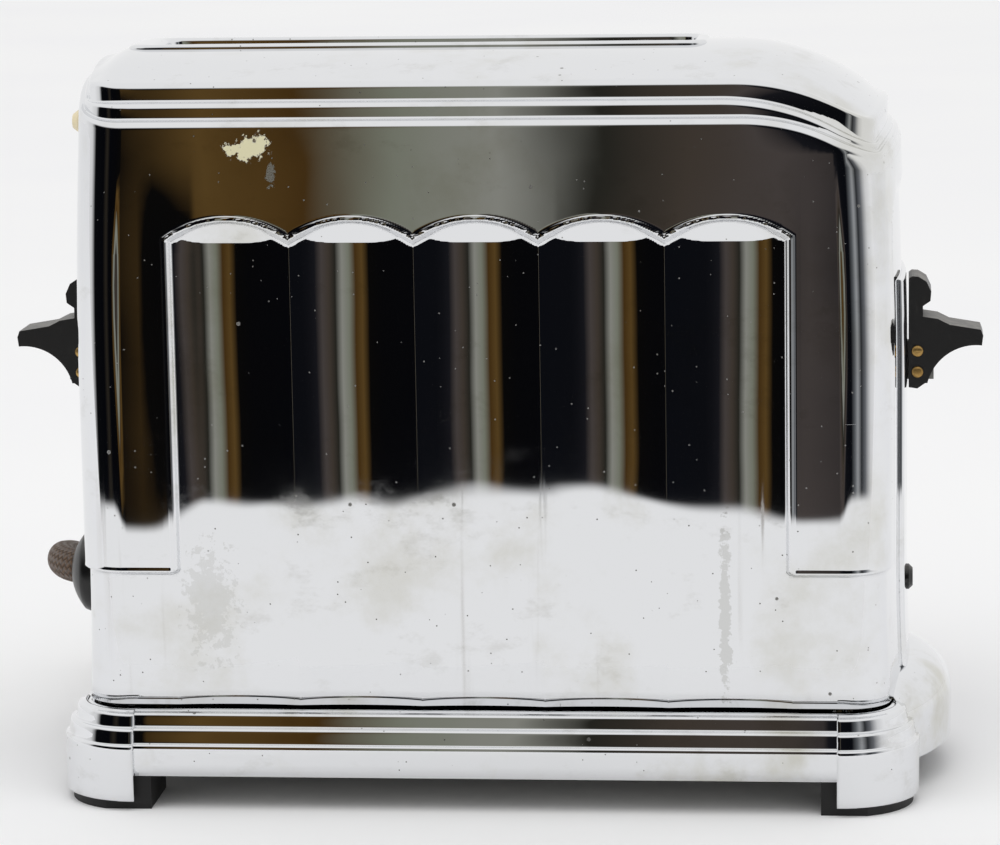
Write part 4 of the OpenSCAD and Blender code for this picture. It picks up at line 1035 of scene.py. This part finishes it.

# %% [markdown]
# ## Rows of small pieces by Geometry Nodes
# Rivets and the wires and rails of the bread guards repeat one small form. A tree with named
# inputs sets copies of the object's own mesh on a lattice of points, makes them real and
# gives them their finish. One tree serves them all.

# %% The lattice tree
def lattice_tree():
    tree = bpy.data.node_groups.new("copies_on_a_lattice", "GeometryNodeTree")
    face = tree.interface
    face.new_socket("Geometry", in_out="OUTPUT", socket_type="NodeSocketGeometry")
    face.new_socket("Geometry", in_out="INPUT", socket_type="NodeSocketGeometry")
    for name, kind in (("Count A", "Int"), ("Step A", "Vector"), ("Count B", "Int"),
                       ("Step B", "Vector"), ("Start", "Vector"), ("Finish", "Material")):
        face.new_socket(name, in_out="INPUT", socket_type="NodeSocket" + kind)
    way_in = put(tree, "NodeGroupInput").outputs
    line_a = put(tree, "GeometryNodeMeshLine",
                 {"Count": way_in["Count A"], "Start Location": way_in["Start"],
                  "Offset": way_in["Step A"]}, mode="OFFSET")
    line_b = put(tree, "GeometryNodeMeshLine", {"Count": way_in["Count B"], "Offset": way_in["Step B"]},
                 mode="OFFSET")
    spread = put(tree, "GeometryNodeInstanceOnPoints", {"Points": line_a.outputs[0],
                                                        "Instance": line_b.outputs[0]})
    points = put(tree, "GeometryNodeRealizeInstances", {"Geometry": spread.outputs[0]})
    copies = put(tree, "GeometryNodeInstanceOnPoints", {"Points": points.outputs[0],
                                                        "Instance": way_in["Geometry"]})
    real = put(tree, "GeometryNodeRealizeInstances", {"Geometry": copies.outputs[0]})
    done = put(tree, "GeometryNodeSetMaterial", {"Geometry": real.outputs[0],
                                                 "Material": way_in["Finish"]})
    put(tree, "NodeGroupOutput", {0: done.outputs[0]})
    return tree


LATTICE = lattice_tree()


def copies(obj, material, start, count_a=1, step_a=(0, 0, 0), count_b=1, step_b=(0, 0, 0)):
    """Sets the object's mesh on a lattice, sizes in mm."""
    mod = obj.modifiers.new("copies", "NODES")
    mod.node_group = LATTICE
    given = {"Count A": count_a, "Step A": [s / 1000 for s in step_a], "Count B": count_b,
             "Step B": [s / 1000 for s in step_b], "Start": [s / 1000 for s in start],
             "Finish": material}
    for item in LATTICE.interface.items_tree:
        if item.item_type == "SOCKET" and item.in_out == "INPUT" and item.name in given:
            mod[item.identifier] = given[item.name]
    settle(obj)
    return obj


# %% Rivets and bread guards
RIVET_HEAD = [(-0.3, 0), (-0.3, 1.47), (0.25, 1.5), (0.5, 1.395), (0.7, 1.125), (0.8, 0.6), (0.85, 0)]


def rod(start, end, r, sides, axis, first):
    """A plain rod along an axis through the origin."""
    return lathe_mesh([(start, 0), (start, r), (end, r), (end, 0)], sides, (0, 0, 0), axis, first)


def rivets(side, node, body):
    x, z = side * (106.3 + 2.2), 99.8 + 1.6 + 2.7
    front = lathe_mesh(RIVET_HEAD, 24, (0, -6.5, 0), (0, -1, 0), (1, 0, 0))
    rear = lathe_mesh(RIVET_HEAD, 24, (0, 6.5, 0), (0, 1, 0), (1, 0, 0))
    shank = rod(-6.6, 6.6, 0.9, 16, (0, 1, 0), (1, 0, 0))
    obj = add_object(node + "_domed", *joined(front, rear, shank))
    copies(obj, FINISH["brass"], (x, 0, z), count_b=2, step_b=(0, 0, 5.4))
    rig.ride(obj, body)
    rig.slot(obj, "brass")
    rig.replaces(obj, node)


def guard(side, word):
    low, high, left, right_end, depth = 34.4, 162.0, -88.8, 56.0, 12.0
    pitch = (right_end - left - 20) / 8
    wire = rod(low, high, 0.8, 12, (0, 0, 1), (1, 0, 0))
    obj = add_object("wires_" + word, *wire)
    copies(obj, FINISH["bright_wire"], (left + 10, side * depth, 0), count_b=9, step_b=(pitch, 0, 0))
    rail = rod(left, right_end, 0.8, 12, (1, 0, 0), (0, 1, 0))
    rails = add_object("rails_" + word, *rail)
    copies(rails, FINISH["bright_wire"], (0, side * depth, low), count_b=2,
           step_b=(0, 0, high - low))
    for piece in (obj, rails):
        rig.ride(piece, "toaster")
        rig.slot(piece, "bright_wire")
    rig.replaces(obj, "guard_" + word)


# %% [markdown]
# ## The finish of old chrome
# The plating is still a mirror, so what it shows is mostly its surroundings. Its age is in
# thin things: a faint warm film in patches, fine pits, hair scratches, dried drips low
# down, and a sheet that was never perfectly flat. Each is a mask made from the piece's own
# coordinates, and the masks drive colour, roughness and a very shallow bump.

# %% Chrome
FINISH = {}


def spots(tree, point, per_metre, size, share):
    """Small round spots: a cell of the pattern holds one if its random value is under share."""
    cells = put(tree, "ShaderNodeTexVoronoi", {"Vector": point, "Scale": per_metre})
    pick = put(tree, "ShaderNodeSeparateColor", {0: cells.outputs["Color"]}).outputs[0]
    near = put(tree, "ShaderNodeMapRange", {0: cells.outputs["Distance"], 1: size, 2: size * 0.5},
               interpolation_type="SMOOTHSTEP").outputs[0]
    return number(tree, "MULTIPLY", near, number(tree, "LESS_THAN", pick, share))


def height_band(tree, low, low_full, high_full, high):
    """1 between two heights of the object, in metres, and soft towards 0 outside."""
    z = put(tree, "ShaderNodeSeparateXYZ", {0: object_point(tree)}).outputs[2]
    rise, fall = (put(tree, "ShaderNodeMapRange", {0: z, 1: none, 2: full}, interpolation_type="SMOOTHSTEP")
                  for none, full in ((low, low_full), (high, high_full)))
    return number(tree, "MULTIPLY", rise.outputs[0], fall.outputs[0])


# Where dried matter sits: its middle in millimetres, half sizes along and up, its colour,
# how much of the chrome it hides, and how much it dulls it.
MARKS = {"worn_chrome_of_the_shell": (((-55.2, -51.2, 167.8), (5.2, 3.0), "D9D3AC", 0.95, 0.5),
                                      ((-50.5, -51.2, 160.5), (1.1, 3.4), "A9A795", 0.6, 0.2),
                                      ((60.8, -51.2, 50.0), (1.5, 22.0), "B5B5B0", 0.45, 0.02),
                                      ((-68.5, -51.2, 52.0), (6.5, 14.0), "B9B9B4", 0.3, 0.02))}


def blot(tree, place, size):
    """1 inside a ragged patch of the front wall, soft at its edge."""
    point = object_point(tree, (1000 / size[0], 1000 / 12.0, 1000 / size[1]),
                         (-place[0] / size[0], -place[1] / 12.0, -place[2] / size[1]))
    reach = put(tree, "ShaderNodeVectorMath", {0: point}, operation="LENGTH").outputs["Value"]
    ragged = grain(tree, object_point(tree), 420, 5, 0.7, 0.3, 0.7, (-0.5, 0.6))
    return put(tree, "ShaderNodeMapRange", {0: number(tree, "ADD", reach, ragged), 1: 1.05, 2: 0.85},
               interpolation_type="SMOOTHSTEP").outputs[0]


def chrome_finish(name, film_share, wave, seed):
    mat, tree, skin = new_finish(name, "E6E7E9", 0.04, metal=1.0)
    point = object_point(tree, shift=(seed, seed * 0.7, 0))
    film = number(tree, "MULTIPLY", grain(tree, point, 26, 6, 0.6, 0.52, 0.72), film_share)
    grime = grain(tree, object_point(tree, (1, 1, 1.6), (seed, 0, 0)), 70, 5, 0.65, 0.56, 0.72)
    pits = spots(tree, point, 520, 0.13, 0.16)
    specks = spots(tree, point, 150, 0.09, 0.10)
    hair = grain(tree, object_point(tree, (45, 45, 2600), (seed, 0, 0)), 1.0, 1, 0.5, 0.82, 0.88)
    cross = grain(tree, object_point(tree, (1900, 1900, 40), (0, seed, 0)), 1.0, 1, 0.5, 0.84, 0.90)
    runs = grain(tree, object_point(tree, (200, 200, 9), (seed, 0, 3)), 1.0, 3, 0.5, 0.64, 0.78)
    runs = number(tree, "MULTIPLY", runs, height_band(tree, 0.024, 0.03, 0.07, 0.105))
    scratches = number(tree, "MAXIMUM", hair, cross)
    tint = between(tree, number(tree, "MULTIPLY", film, 0.55), "E6E7E9", "B9B59F")
    tint = between(tree, number(tree, "MULTIPLY", grime, 0.16), tint, "8B8672")
    tint = between(tree, number(tree, "MULTIPLY", runs, 0.16), tint, "8A7F68")
    dots = number(tree, "MAXIMUM", pits, specks)
    tint = between(tree, number(tree, "MULTIPLY", dots, 0.7), tint, "5D584C")
    marks = []
    for place, size, code, share, dull in MARKS.get(name, ()):
        mark = blot(tree, place, size)
        tint = between(tree, number(tree, "MULTIPLY", mark, share), tint, code)
        marks.append((mark, dull))
    tree.links.new(tint, skin.inputs["Base Color"])
    rough = number(tree, "MULTIPLY_ADD", film, 0.022, 0.014)
    rough = number(tree, "MULTIPLY_ADD", grime, 0.02, rough)
    rough = number(tree, "MULTIPLY_ADD", scratches, 0.06, rough)
    rough = number(tree, "MULTIPLY_ADD", runs, 0.10, rough)
    rough = number(tree, "MULTIPLY_ADD", dots, 0.4, rough)
    for mark, dull in marks:
        rough = number(tree, "MULTIPLY_ADD", mark, dull, rough)
    tree.links.new(rough, skin.inputs["Roughness"])
    if marks:
        tree.links.new(number(tree, "SUBTRACT", 1.0, marks[0][0]), skin.inputs["Metallic"])
    ripple = put(tree, "ShaderNodeTexNoise", {"Vector": point, "Scale": 21.0, "Detail": 1.5}).outputs[0]
    first = bumped(tree, skin, ripple, wave)
    bumped(tree, skin, number(tree, "MULTIPLY", scratches, -1.0), 0.0000015, after=first)
    return mat


FINISH["chrome"] = chrome_finish("worn_chrome_of_the_shell", 0.6, 0.00010, 1.3)
FINISH["chrome_base"] = chrome_finish("worn_chrome_of_the_base", 1.0, 0.00018, 4.1)
FINISH["chrome_trim"] = chrome_finish("chrome_of_rim_and_plates", 0.6, 0.00012, 7.7)

# %% [markdown]
# ## Moulded black parts
# The levers, knobs, gland and plug are an early moulded plastic, black with a soft gloss
# that handling and dust have dulled: upward faces are paler and rougher, partly from dust
# that gathers there and partly as a painted highlight of the light from above, and they
# are rubbed a little along edges.

# %% Black mouldings
def moulding_finish(name, colour, dust_and_highlight_share, rough=0.32):
    mat, tree, skin = new_finish(name, colour, rough)
    point = object_point(tree)
    outward = put(tree, "ShaderNodeNewGeometry").outputs["Normal"]
    facing = put(tree, "ShaderNodeSeparateXYZ", {0: outward})
    # Faces that point up are made paler and rougher: partly settled dust, partly a painted highlight of the light from
    # above.
    top = put(tree, "ShaderNodeMapRange", {0: facing.outputs[2], 1: 0.35, 2: 0.9},
              interpolation_type="SMOOTHSTEP").outputs[0]
    patchy = grain(tree, point, 330, 6, 0.65, 0.35, 0.65)
    dust_and_painted_highlight = number(tree, "MULTIPLY", top, number(tree, "MULTIPLY_ADD", patchy, 0.6, 0.4))
    dust_and_painted_highlight = number(tree, "MULTIPLY", dust_and_painted_highlight, dust_and_highlight_share)
    scuffs = grain(tree, object_point(tree, (1, 1, 0.25)), 900, 3, 0.6, 0.60, 0.74)
    tint = between(tree, dust_and_painted_highlight, colour, "8E8B86")
    tint = between(tree, number(tree, "MULTIPLY", scuffs, 0.12), tint, "4A4541")
    tree.links.new(tint, skin.inputs["Base Color"])
    matt = number(tree, "MULTIPLY_ADD", dust_and_painted_highlight, 0.3, rough)
    tree.links.new(number(tree, "MULTIPLY_ADD", scuffs, 0.18, matt), skin.inputs["Roughness"])
    bumped(tree, skin, grain(tree, point, 1500, 3), 0.00003, 0.5)
    return mat


FINISH["bakelite"] = moulding_finish("black_moulding", "0B0A0A", 0.25)
# The levers take the most of it: their pale tops are a painted highlight as well as dust and handling.
FINISH["bakelite_lever"] = moulding_finish("black_moulding_dust_and_painted_highlight", "070606", 0.8, 0.36)
FINISH["rubber"] = moulding_finish("black_foot_pad", "111010", 0.0, 0.6)
FINISH["cream"] = moulding_finish("yellowed_cream_moulding", "E6D8B4", 0.0, 0.34)


# %% [markdown]
# ## Brass, steel, wire and ribbon
# The rivets are tarnished brass. Inside are dull sheet steel, drawn wire and a heating
# ribbon blued by heat. One recipe makes them all: a metal whose colour wanders between a
# clean tone and a tarnished one, with a fine directional grain.

# %% Plain metals
def metal_finish(name, clean, tarnished, rough, share=0.6, stretch=(1, 1, 12), scale=240):
    mat, tree, skin = new_finish(name, clean, rough, metal=1.0)
    point = object_point(tree)
    patches = number(tree, "MULTIPLY", grain(tree, point, 90, 5, 0.6, 0.35, 0.7), share)
    lines = grain(tree, object_point(tree, stretch), scale, 4, 0.6, 0.3, 0.7)
    tree.links.new(between(tree, patches, clean, tarnished), skin.inputs["Base Color"])
    matt = number(tree, "MULTIPLY_ADD", patches, 0.22, rough)
    tree.links.new(number(tree, "MULTIPLY_ADD", lines, 0.08, matt), skin.inputs["Roughness"])
    bumped(tree, skin, lines, 0.00002, 0.6)
    return mat


FINISH["brass"] = metal_finish("tarnished_brass", "C9A566", "7B5A2C", 0.28)
FINISH["steel"] = metal_finish("dull_sheet_steel", "9A9A97", "6E6960", 0.38)
FINISH["bright_wire"] = metal_finish("drawn_wire", "B7B5AF", "77736A", 0.3)
FINISH["ribbon"] = metal_finish("heat_blued_ribbon", "7C746A", "4A4547", 0.42)


# %% [markdown]
# ## Mica, porcelain and the tie
# Mica is a stack of glassy flakes, so its sheets show pale layered patches. Porcelain is
# white under a clear glaze. The tie is a strip of dark woven tape.

# %% Sheet and glazed finishes
def mica_finish():
    mat, tree, skin = new_finish("layered_mica", "A8946C", 0.38)
    point = object_point(tree)
    flakes = put(tree, "ShaderNodeTexVoronoi", {"Vector": point, "Scale": 130.0})
    tone = put(tree, "ShaderNodeSeparateColor", {0: flakes.outputs["Color"]}).outputs[0]
    tint = between(tree, tone, "8C7850", "BCA97F")
    tint = between(tree, grain(tree, point, 40, 5, 0.6, 0.5, 0.75), tint, "6A5636")
    tree.links.new(tint, skin.inputs["Base Color"])
    tree.links.new(number(tree, "MULTIPLY_ADD", tone, 0.25, 0.28), skin.inputs["Roughness"])
    bumped(tree, skin, tone, 0.00004, 0.5)
    skin.inputs["Coat Weight"].default_value = 0.3
    return mat


def porcelain_finish():
    mat, tree, skin = new_finish("glazed_porcelain", "EFECE4", 0.15)
    point = object_point(tree)
    tree.links.new(between(tree, grain(tree, point, 300, 5, 0.6, 0.55, 0.8), "EFECE4", "CFC6B2"),
                   skin.inputs["Base Color"])
    tree.links.new(grain(tree, point, 160, 3, 0.5, 0.3, 0.7, (0.12, 0.24)), skin.inputs["Roughness"])
    bumped(tree, skin, grain(tree, point, 220, 2), 0.00006, 0.4)
    skin.inputs["Coat Weight"].default_value = 0.6
    return mat


def tape_finish():
    mat, tree, skin = new_finish("woven_tape", "1C1916", 0.8)
    warp = put(tree, "ShaderNodeTexWave", {"Vector": object_point(tree), "Scale": 900.0},
               bands_direction="X").outputs[1]
    weft = put(tree, "ShaderNodeTexWave", {"Vector": object_point(tree), "Scale": 700.0},
               bands_direction="Z").outputs[1]
    weave = number(tree, "MULTIPLY", warp, weft)
    tree.links.new(between(tree, weave, "12100E", "2B2722"), skin.inputs["Base Color"])
    tree.links.new(number(tree, "MULTIPLY_ADD", weave, -0.1, 0.85), skin.inputs["Roughness"])
    bumped(tree, skin, weave, 0.0001)
    return mat


FINISH["mica"] = mica_finish()
FINISH["porcelain"] = porcelain_finish()
FINISH["tie"] = tape_finish()


# %% [markdown]
# ## Braided cloth
# The cord's cover is a braid of brown threads that cross at a slant. Two sets of slanted
# stripes on the tube's own map cross each other; where one set runs on top its thread
# stands up. Some threads are lighter, and the gaps between the threads are painted dark as a painted shade.

# %% The braid
def braid_finish(name, map_name, threads, light, painted_gap_shade):
    mat, tree, skin = new_finish(name, light, 0.8)
    uv = put(tree, "ShaderNodeUVMap", uv_map=map_name).outputs[0]
    flat = put(tree, "ShaderNodeSeparateXYZ", {0: uv})
    u, v = flat.outputs[0], flat.outputs[1]
    up_turn = number(tree, "MULTIPLY", number(tree, "ADD", u, v), threads)
    down_turn = number(tree, "MULTIPLY", number(tree, "SUBTRACT", u, v), threads)
    ridge_a, ridge_b = (
        number(tree, "ABSOLUTE", number(tree, "SINE", number(tree, "MULTIPLY", turn, math.pi)))
        for turn in (up_turn, down_turn))
    odd = number(tree, "PINGPONG", number(tree, "ADD", number(tree, "FLOOR", up_turn),
                                          number(tree, "FLOOR", down_turn)), 1.0)
    over = number(tree, "MULTIPLY", ridge_a, odd)
    under = number(tree, "MULTIPLY", ridge_b, number(tree, "SUBTRACT", 1.0, odd))
    height = number(tree, "ADD", over, under)
    thread = number(tree, "FLOOR", up_turn)
    thread_no = put(tree, "ShaderNodeCombineXYZ", {0: thread, 1: odd}).outputs[0]
    tone = put(tree, "ShaderNodeTexWhiteNoise", {"Vector": thread_no}).outputs[0]
    fuzz = grain(tree, object_point(tree), 1400, 4, 0.7, 0.35, 0.7)
    tint = between(tree, number(tree, "MULTIPLY", tone, 0.45), light, "7A5F42")
    tint = between(tree, number(tree, "MULTIPLY", fuzz, 0.3), tint, "2E2117")
    # The low parts between the threads take the dark colour: painted shade in the gaps.
    tint = between(tree, height, painted_gap_shade, tint)
    tree.links.new(tint, skin.inputs["Base Color"])
    tree.links.new(number(tree, "MULTIPLY_ADD", fuzz, 0.12, 0.76), skin.inputs["Roughness"])
    bumped(tree, skin, number(tree, "MULTIPLY_ADD", fuzz, 0.3, height), 0.00028)
    skin.inputs["Sheen Weight"].default_value = 0.25
    return mat


FINISH["cloth"] = braid_finish("brown_braid", "braid", 14, "5C422C", "20150D")


def plain_cloth():
    mat, tree, skin = new_finish("brown_lead_cover", "4F3826", 0.82)
    weave = put(tree, "ShaderNodeTexWave", {"Vector": object_point(tree), "Scale": 800.0,
                                            "Distortion": 1.5}, bands_direction="DIAGONAL").outputs[1]
    tree.links.new(between(tree, weave, "2A1C12", "604630"), skin.inputs["Base Color"])
    tree.links.new(number(tree, "MULTIPLY_ADD", weave, -0.1, 0.85), skin.inputs["Roughness"])
    bumped(tree, skin, weave, 0.0001)
    return mat


FINISH["cloth_lead"] = plain_cloth()
print("finishes:", len(FINISH))


# %% Give every piece its finish
def dress(obj, mat):
    if not obj.data.materials:
        obj.data.materials.append(mat)
    for slot_used in obj.material_slots:
        slot_used.material = mat


for side, node, body in ((-1, "handle_left_rivets", "carriage"), (1, "handle_right_rivets", "winder")):
    rivets(side, node, body)
guard(-1, "front")
guard(1, "rear")

special = {"inner_leads": "cloth_lead"}
special.update({n: "rubber" for n in frame["nodes"] if n.startswith("foot_pad")})
slot_of = {p["node"]: p["material_slot"] for p in frame["record"]["subparts"]}
for node, obj in frame["nodes"].items():
    dress(obj, FINISH[special.get(node, slot_of[node])])
own = {"chrome_shell": "chrome", "stepped_base": "chrome_base", "slot_rim_rolled": "chrome_trim",
       "bright_plate_left": "chrome_trim", "bright_plate_right": "chrome_trim",
       "lever_left": "bakelite_lever", "lever_right": "bakelite_lever", "control_knob": "bakelite", "cream_button": "cream",
       "plug_moulding": "bakelite", "plug_pins": "brass", "domed_gland": "bakelite",
       "power_cord": "cloth", "strain_relief": "cloth"}
for name, finish in own.items():
    dress(bpy.data.objects[name], FINISH[finish])

# %% [markdown]
# ## Floor, room and lamps
# The floor is plain and pale. It ends a little in front of the toaster, beyond what the
# camera sees, because in the photograph the front wall mirrors a dark room above a pale
# table. The room is a rule in the world: a row of colours by bearing in degrees, white
# below the table's far edge at eleven degrees down and white again from a pale ceiling.
# Only mirror rays see it, while the camera sees white and soft light comes evenly from all
# round. Two soft boxes and a wide overhead light, none of them seen in the chrome, give
# the black mouldings their shape and the floor its shadow.

# %% The floor
floor_verts = [(-5, -0.2, 0), (5, -0.2, 0), (5, 6, 0), (-5, 6, 0)]
floor = add_object("floor", floor_verts, [(0, 1, 2, 3)], mm=False)
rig.stage(floor)
floor_mat, tree, skin = new_finish("pale_table", "F4F4F5", 0.9)
skin.inputs["Specular IOR Level"].default_value = 0.0
mottle = grain(tree, object_point(tree), 3.0, 2, 0.5, 0.3, 0.7)
tree.links.new(between(tree, mottle, "F4F4F5", "F6F6F6"), skin.inputs["Base Color"])
floor.data.materials.append(floor_mat)

# %% The room
world = bpy.data.worlds.new("room")
scene.world = world
world.use_nodes = True
tree = world.node_tree
tree.nodes.clear()
way = put(tree, "ShaderNodeTexCoord").outputs["Generated"]
parts = put(tree, "ShaderNodeSeparateXYZ", {0: way})
bearing = number(tree, "ARCTAN2", parts.outputs[0], number(tree, "MULTIPLY", parts.outputs[1], -1.0))
spread = put(tree, "ShaderNodeMapRange", {0: bearing, 1: -math.pi, 2: math.pi}).outputs[0]
WALL_OF_ROOM = """
    -180 F4F4F4  -100 F4F4F4  -78 DCDCDC  -68 0B0C0E  -44 07080C  -36 2A2620  -30 07080C
    -14 08080A  -10.8 0B0A09  -10.4 4A3819  -9.4 644C29  -8.6 4A3418  -8.0 3A290E
    -7.7 44402F  -7.3 777A6B  -5.6 8C8C84  -4.8 5C5B55  -4.2 24231E  -3.2 2A2622
    -2.1 5E5349  -1.1 3C393B  -0.4 1A1A1E  2 0E0F13  18 0B0D12  26 5C5F62  33 9A9C9E
    42 2B2D30  52 6A6C70  66 DCDCDC  80 F4F4F4  180 F4F4F4""".split()
ROOM = list(zip((float(a) for a in WALL_OF_ROOM[::2]), WALL_OF_ROOM[1::2]))
ramp = put(tree, "ShaderNodeValToRGB", {0: spread})
stops = ramp.color_ramp.elements
while len(stops) > 1:
    stops.remove(stops[-1])
for k, (angle, code) in enumerate(ROOM):
    stop = stops[0] if k == 0 else stops.new(angle / 360 + 0.5)
    stop.position = angle / 360 + 0.5
    stop.color = hex_colour(code)
rise = number(tree, "ARCSINE", parts.outputs[2])
above = put(tree, "ShaderNodeMapRange", {0: rise, 1: math.radians(22), 2: math.radians(40)},
            interpolation_type="SMOOTHSTEP").outputs[0]
below = put(tree, "ShaderNodeMapRange", {0: rise, 1: math.radians(-10.92), 2: math.radians(-11.14)},
            interpolation_type="SMOOTHSTEP").outputs[0]
mirrored = between(tree, number(tree, "MAXIMUM", above, below), ramp.outputs[0], "F6F6F6")
light_path = put(tree, "ShaderNodeLightPath")
mirror_ray = number(tree, "MAXIMUM", light_path.outputs["Is Glossy Ray"],
                    light_path.outputs["Is Transmission Ray"])
seen = between(tree, mirror_ray, "E4E4E4", mirrored)
seen = between(tree, light_path.outputs["Is Camera Ray"], seen, "F8F8F8")
glow = put(tree, "ShaderNodeBackground", {0: seen, 1: 1.0})
put(tree, "ShaderNodeOutputWorld", {0: glow.outputs[0]})


# %% The lamps
def lamp(name, place, aim, size, power):
    data = bpy.data.lights.new(name, "AREA")
    data.shape, data.size, data.energy = "SQUARE", size, power
    obj = bpy.data.objects.new(name, data)
    obj.location = place
    obj.rotation_euler = (Vector(aim) - Vector(place)).to_track_quat("-Z", "Y").to_euler()
    obj.visible_glossy = False
    scene.collection.objects.link(obj)


lamp("soft_box_left", (-0.9, -0.7, 1.1), (0, 0, 0.08), 0.8, 1.6)
lamp("soft_box_right", (1.0, -0.4, 0.9), (0, 0, 0.08), 0.7, 1.0)
overhead = bpy.data.lights.new("overhead_light", "SUN")
overhead.energy, overhead.angle = 0.62, math.radians(45)
above_all = bpy.data.objects.new("overhead_light", overhead)
above_all.rotation_euler = (math.radians(24), math.radians(4), 0)
above_all.visible_glossy = False
scene.collection.objects.link(above_all)

# %% Close the scene
done_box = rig.bounds()
with open("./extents.json", "w") as out:
    json.dump([[list(c) for c in cad_box], [list(c) for c in done_box]], out)
for word, box in (("measured", cad_box), ("finished", done_box)):
    print(word, "size:", [[round(v, 4) for v in c] for c in box])
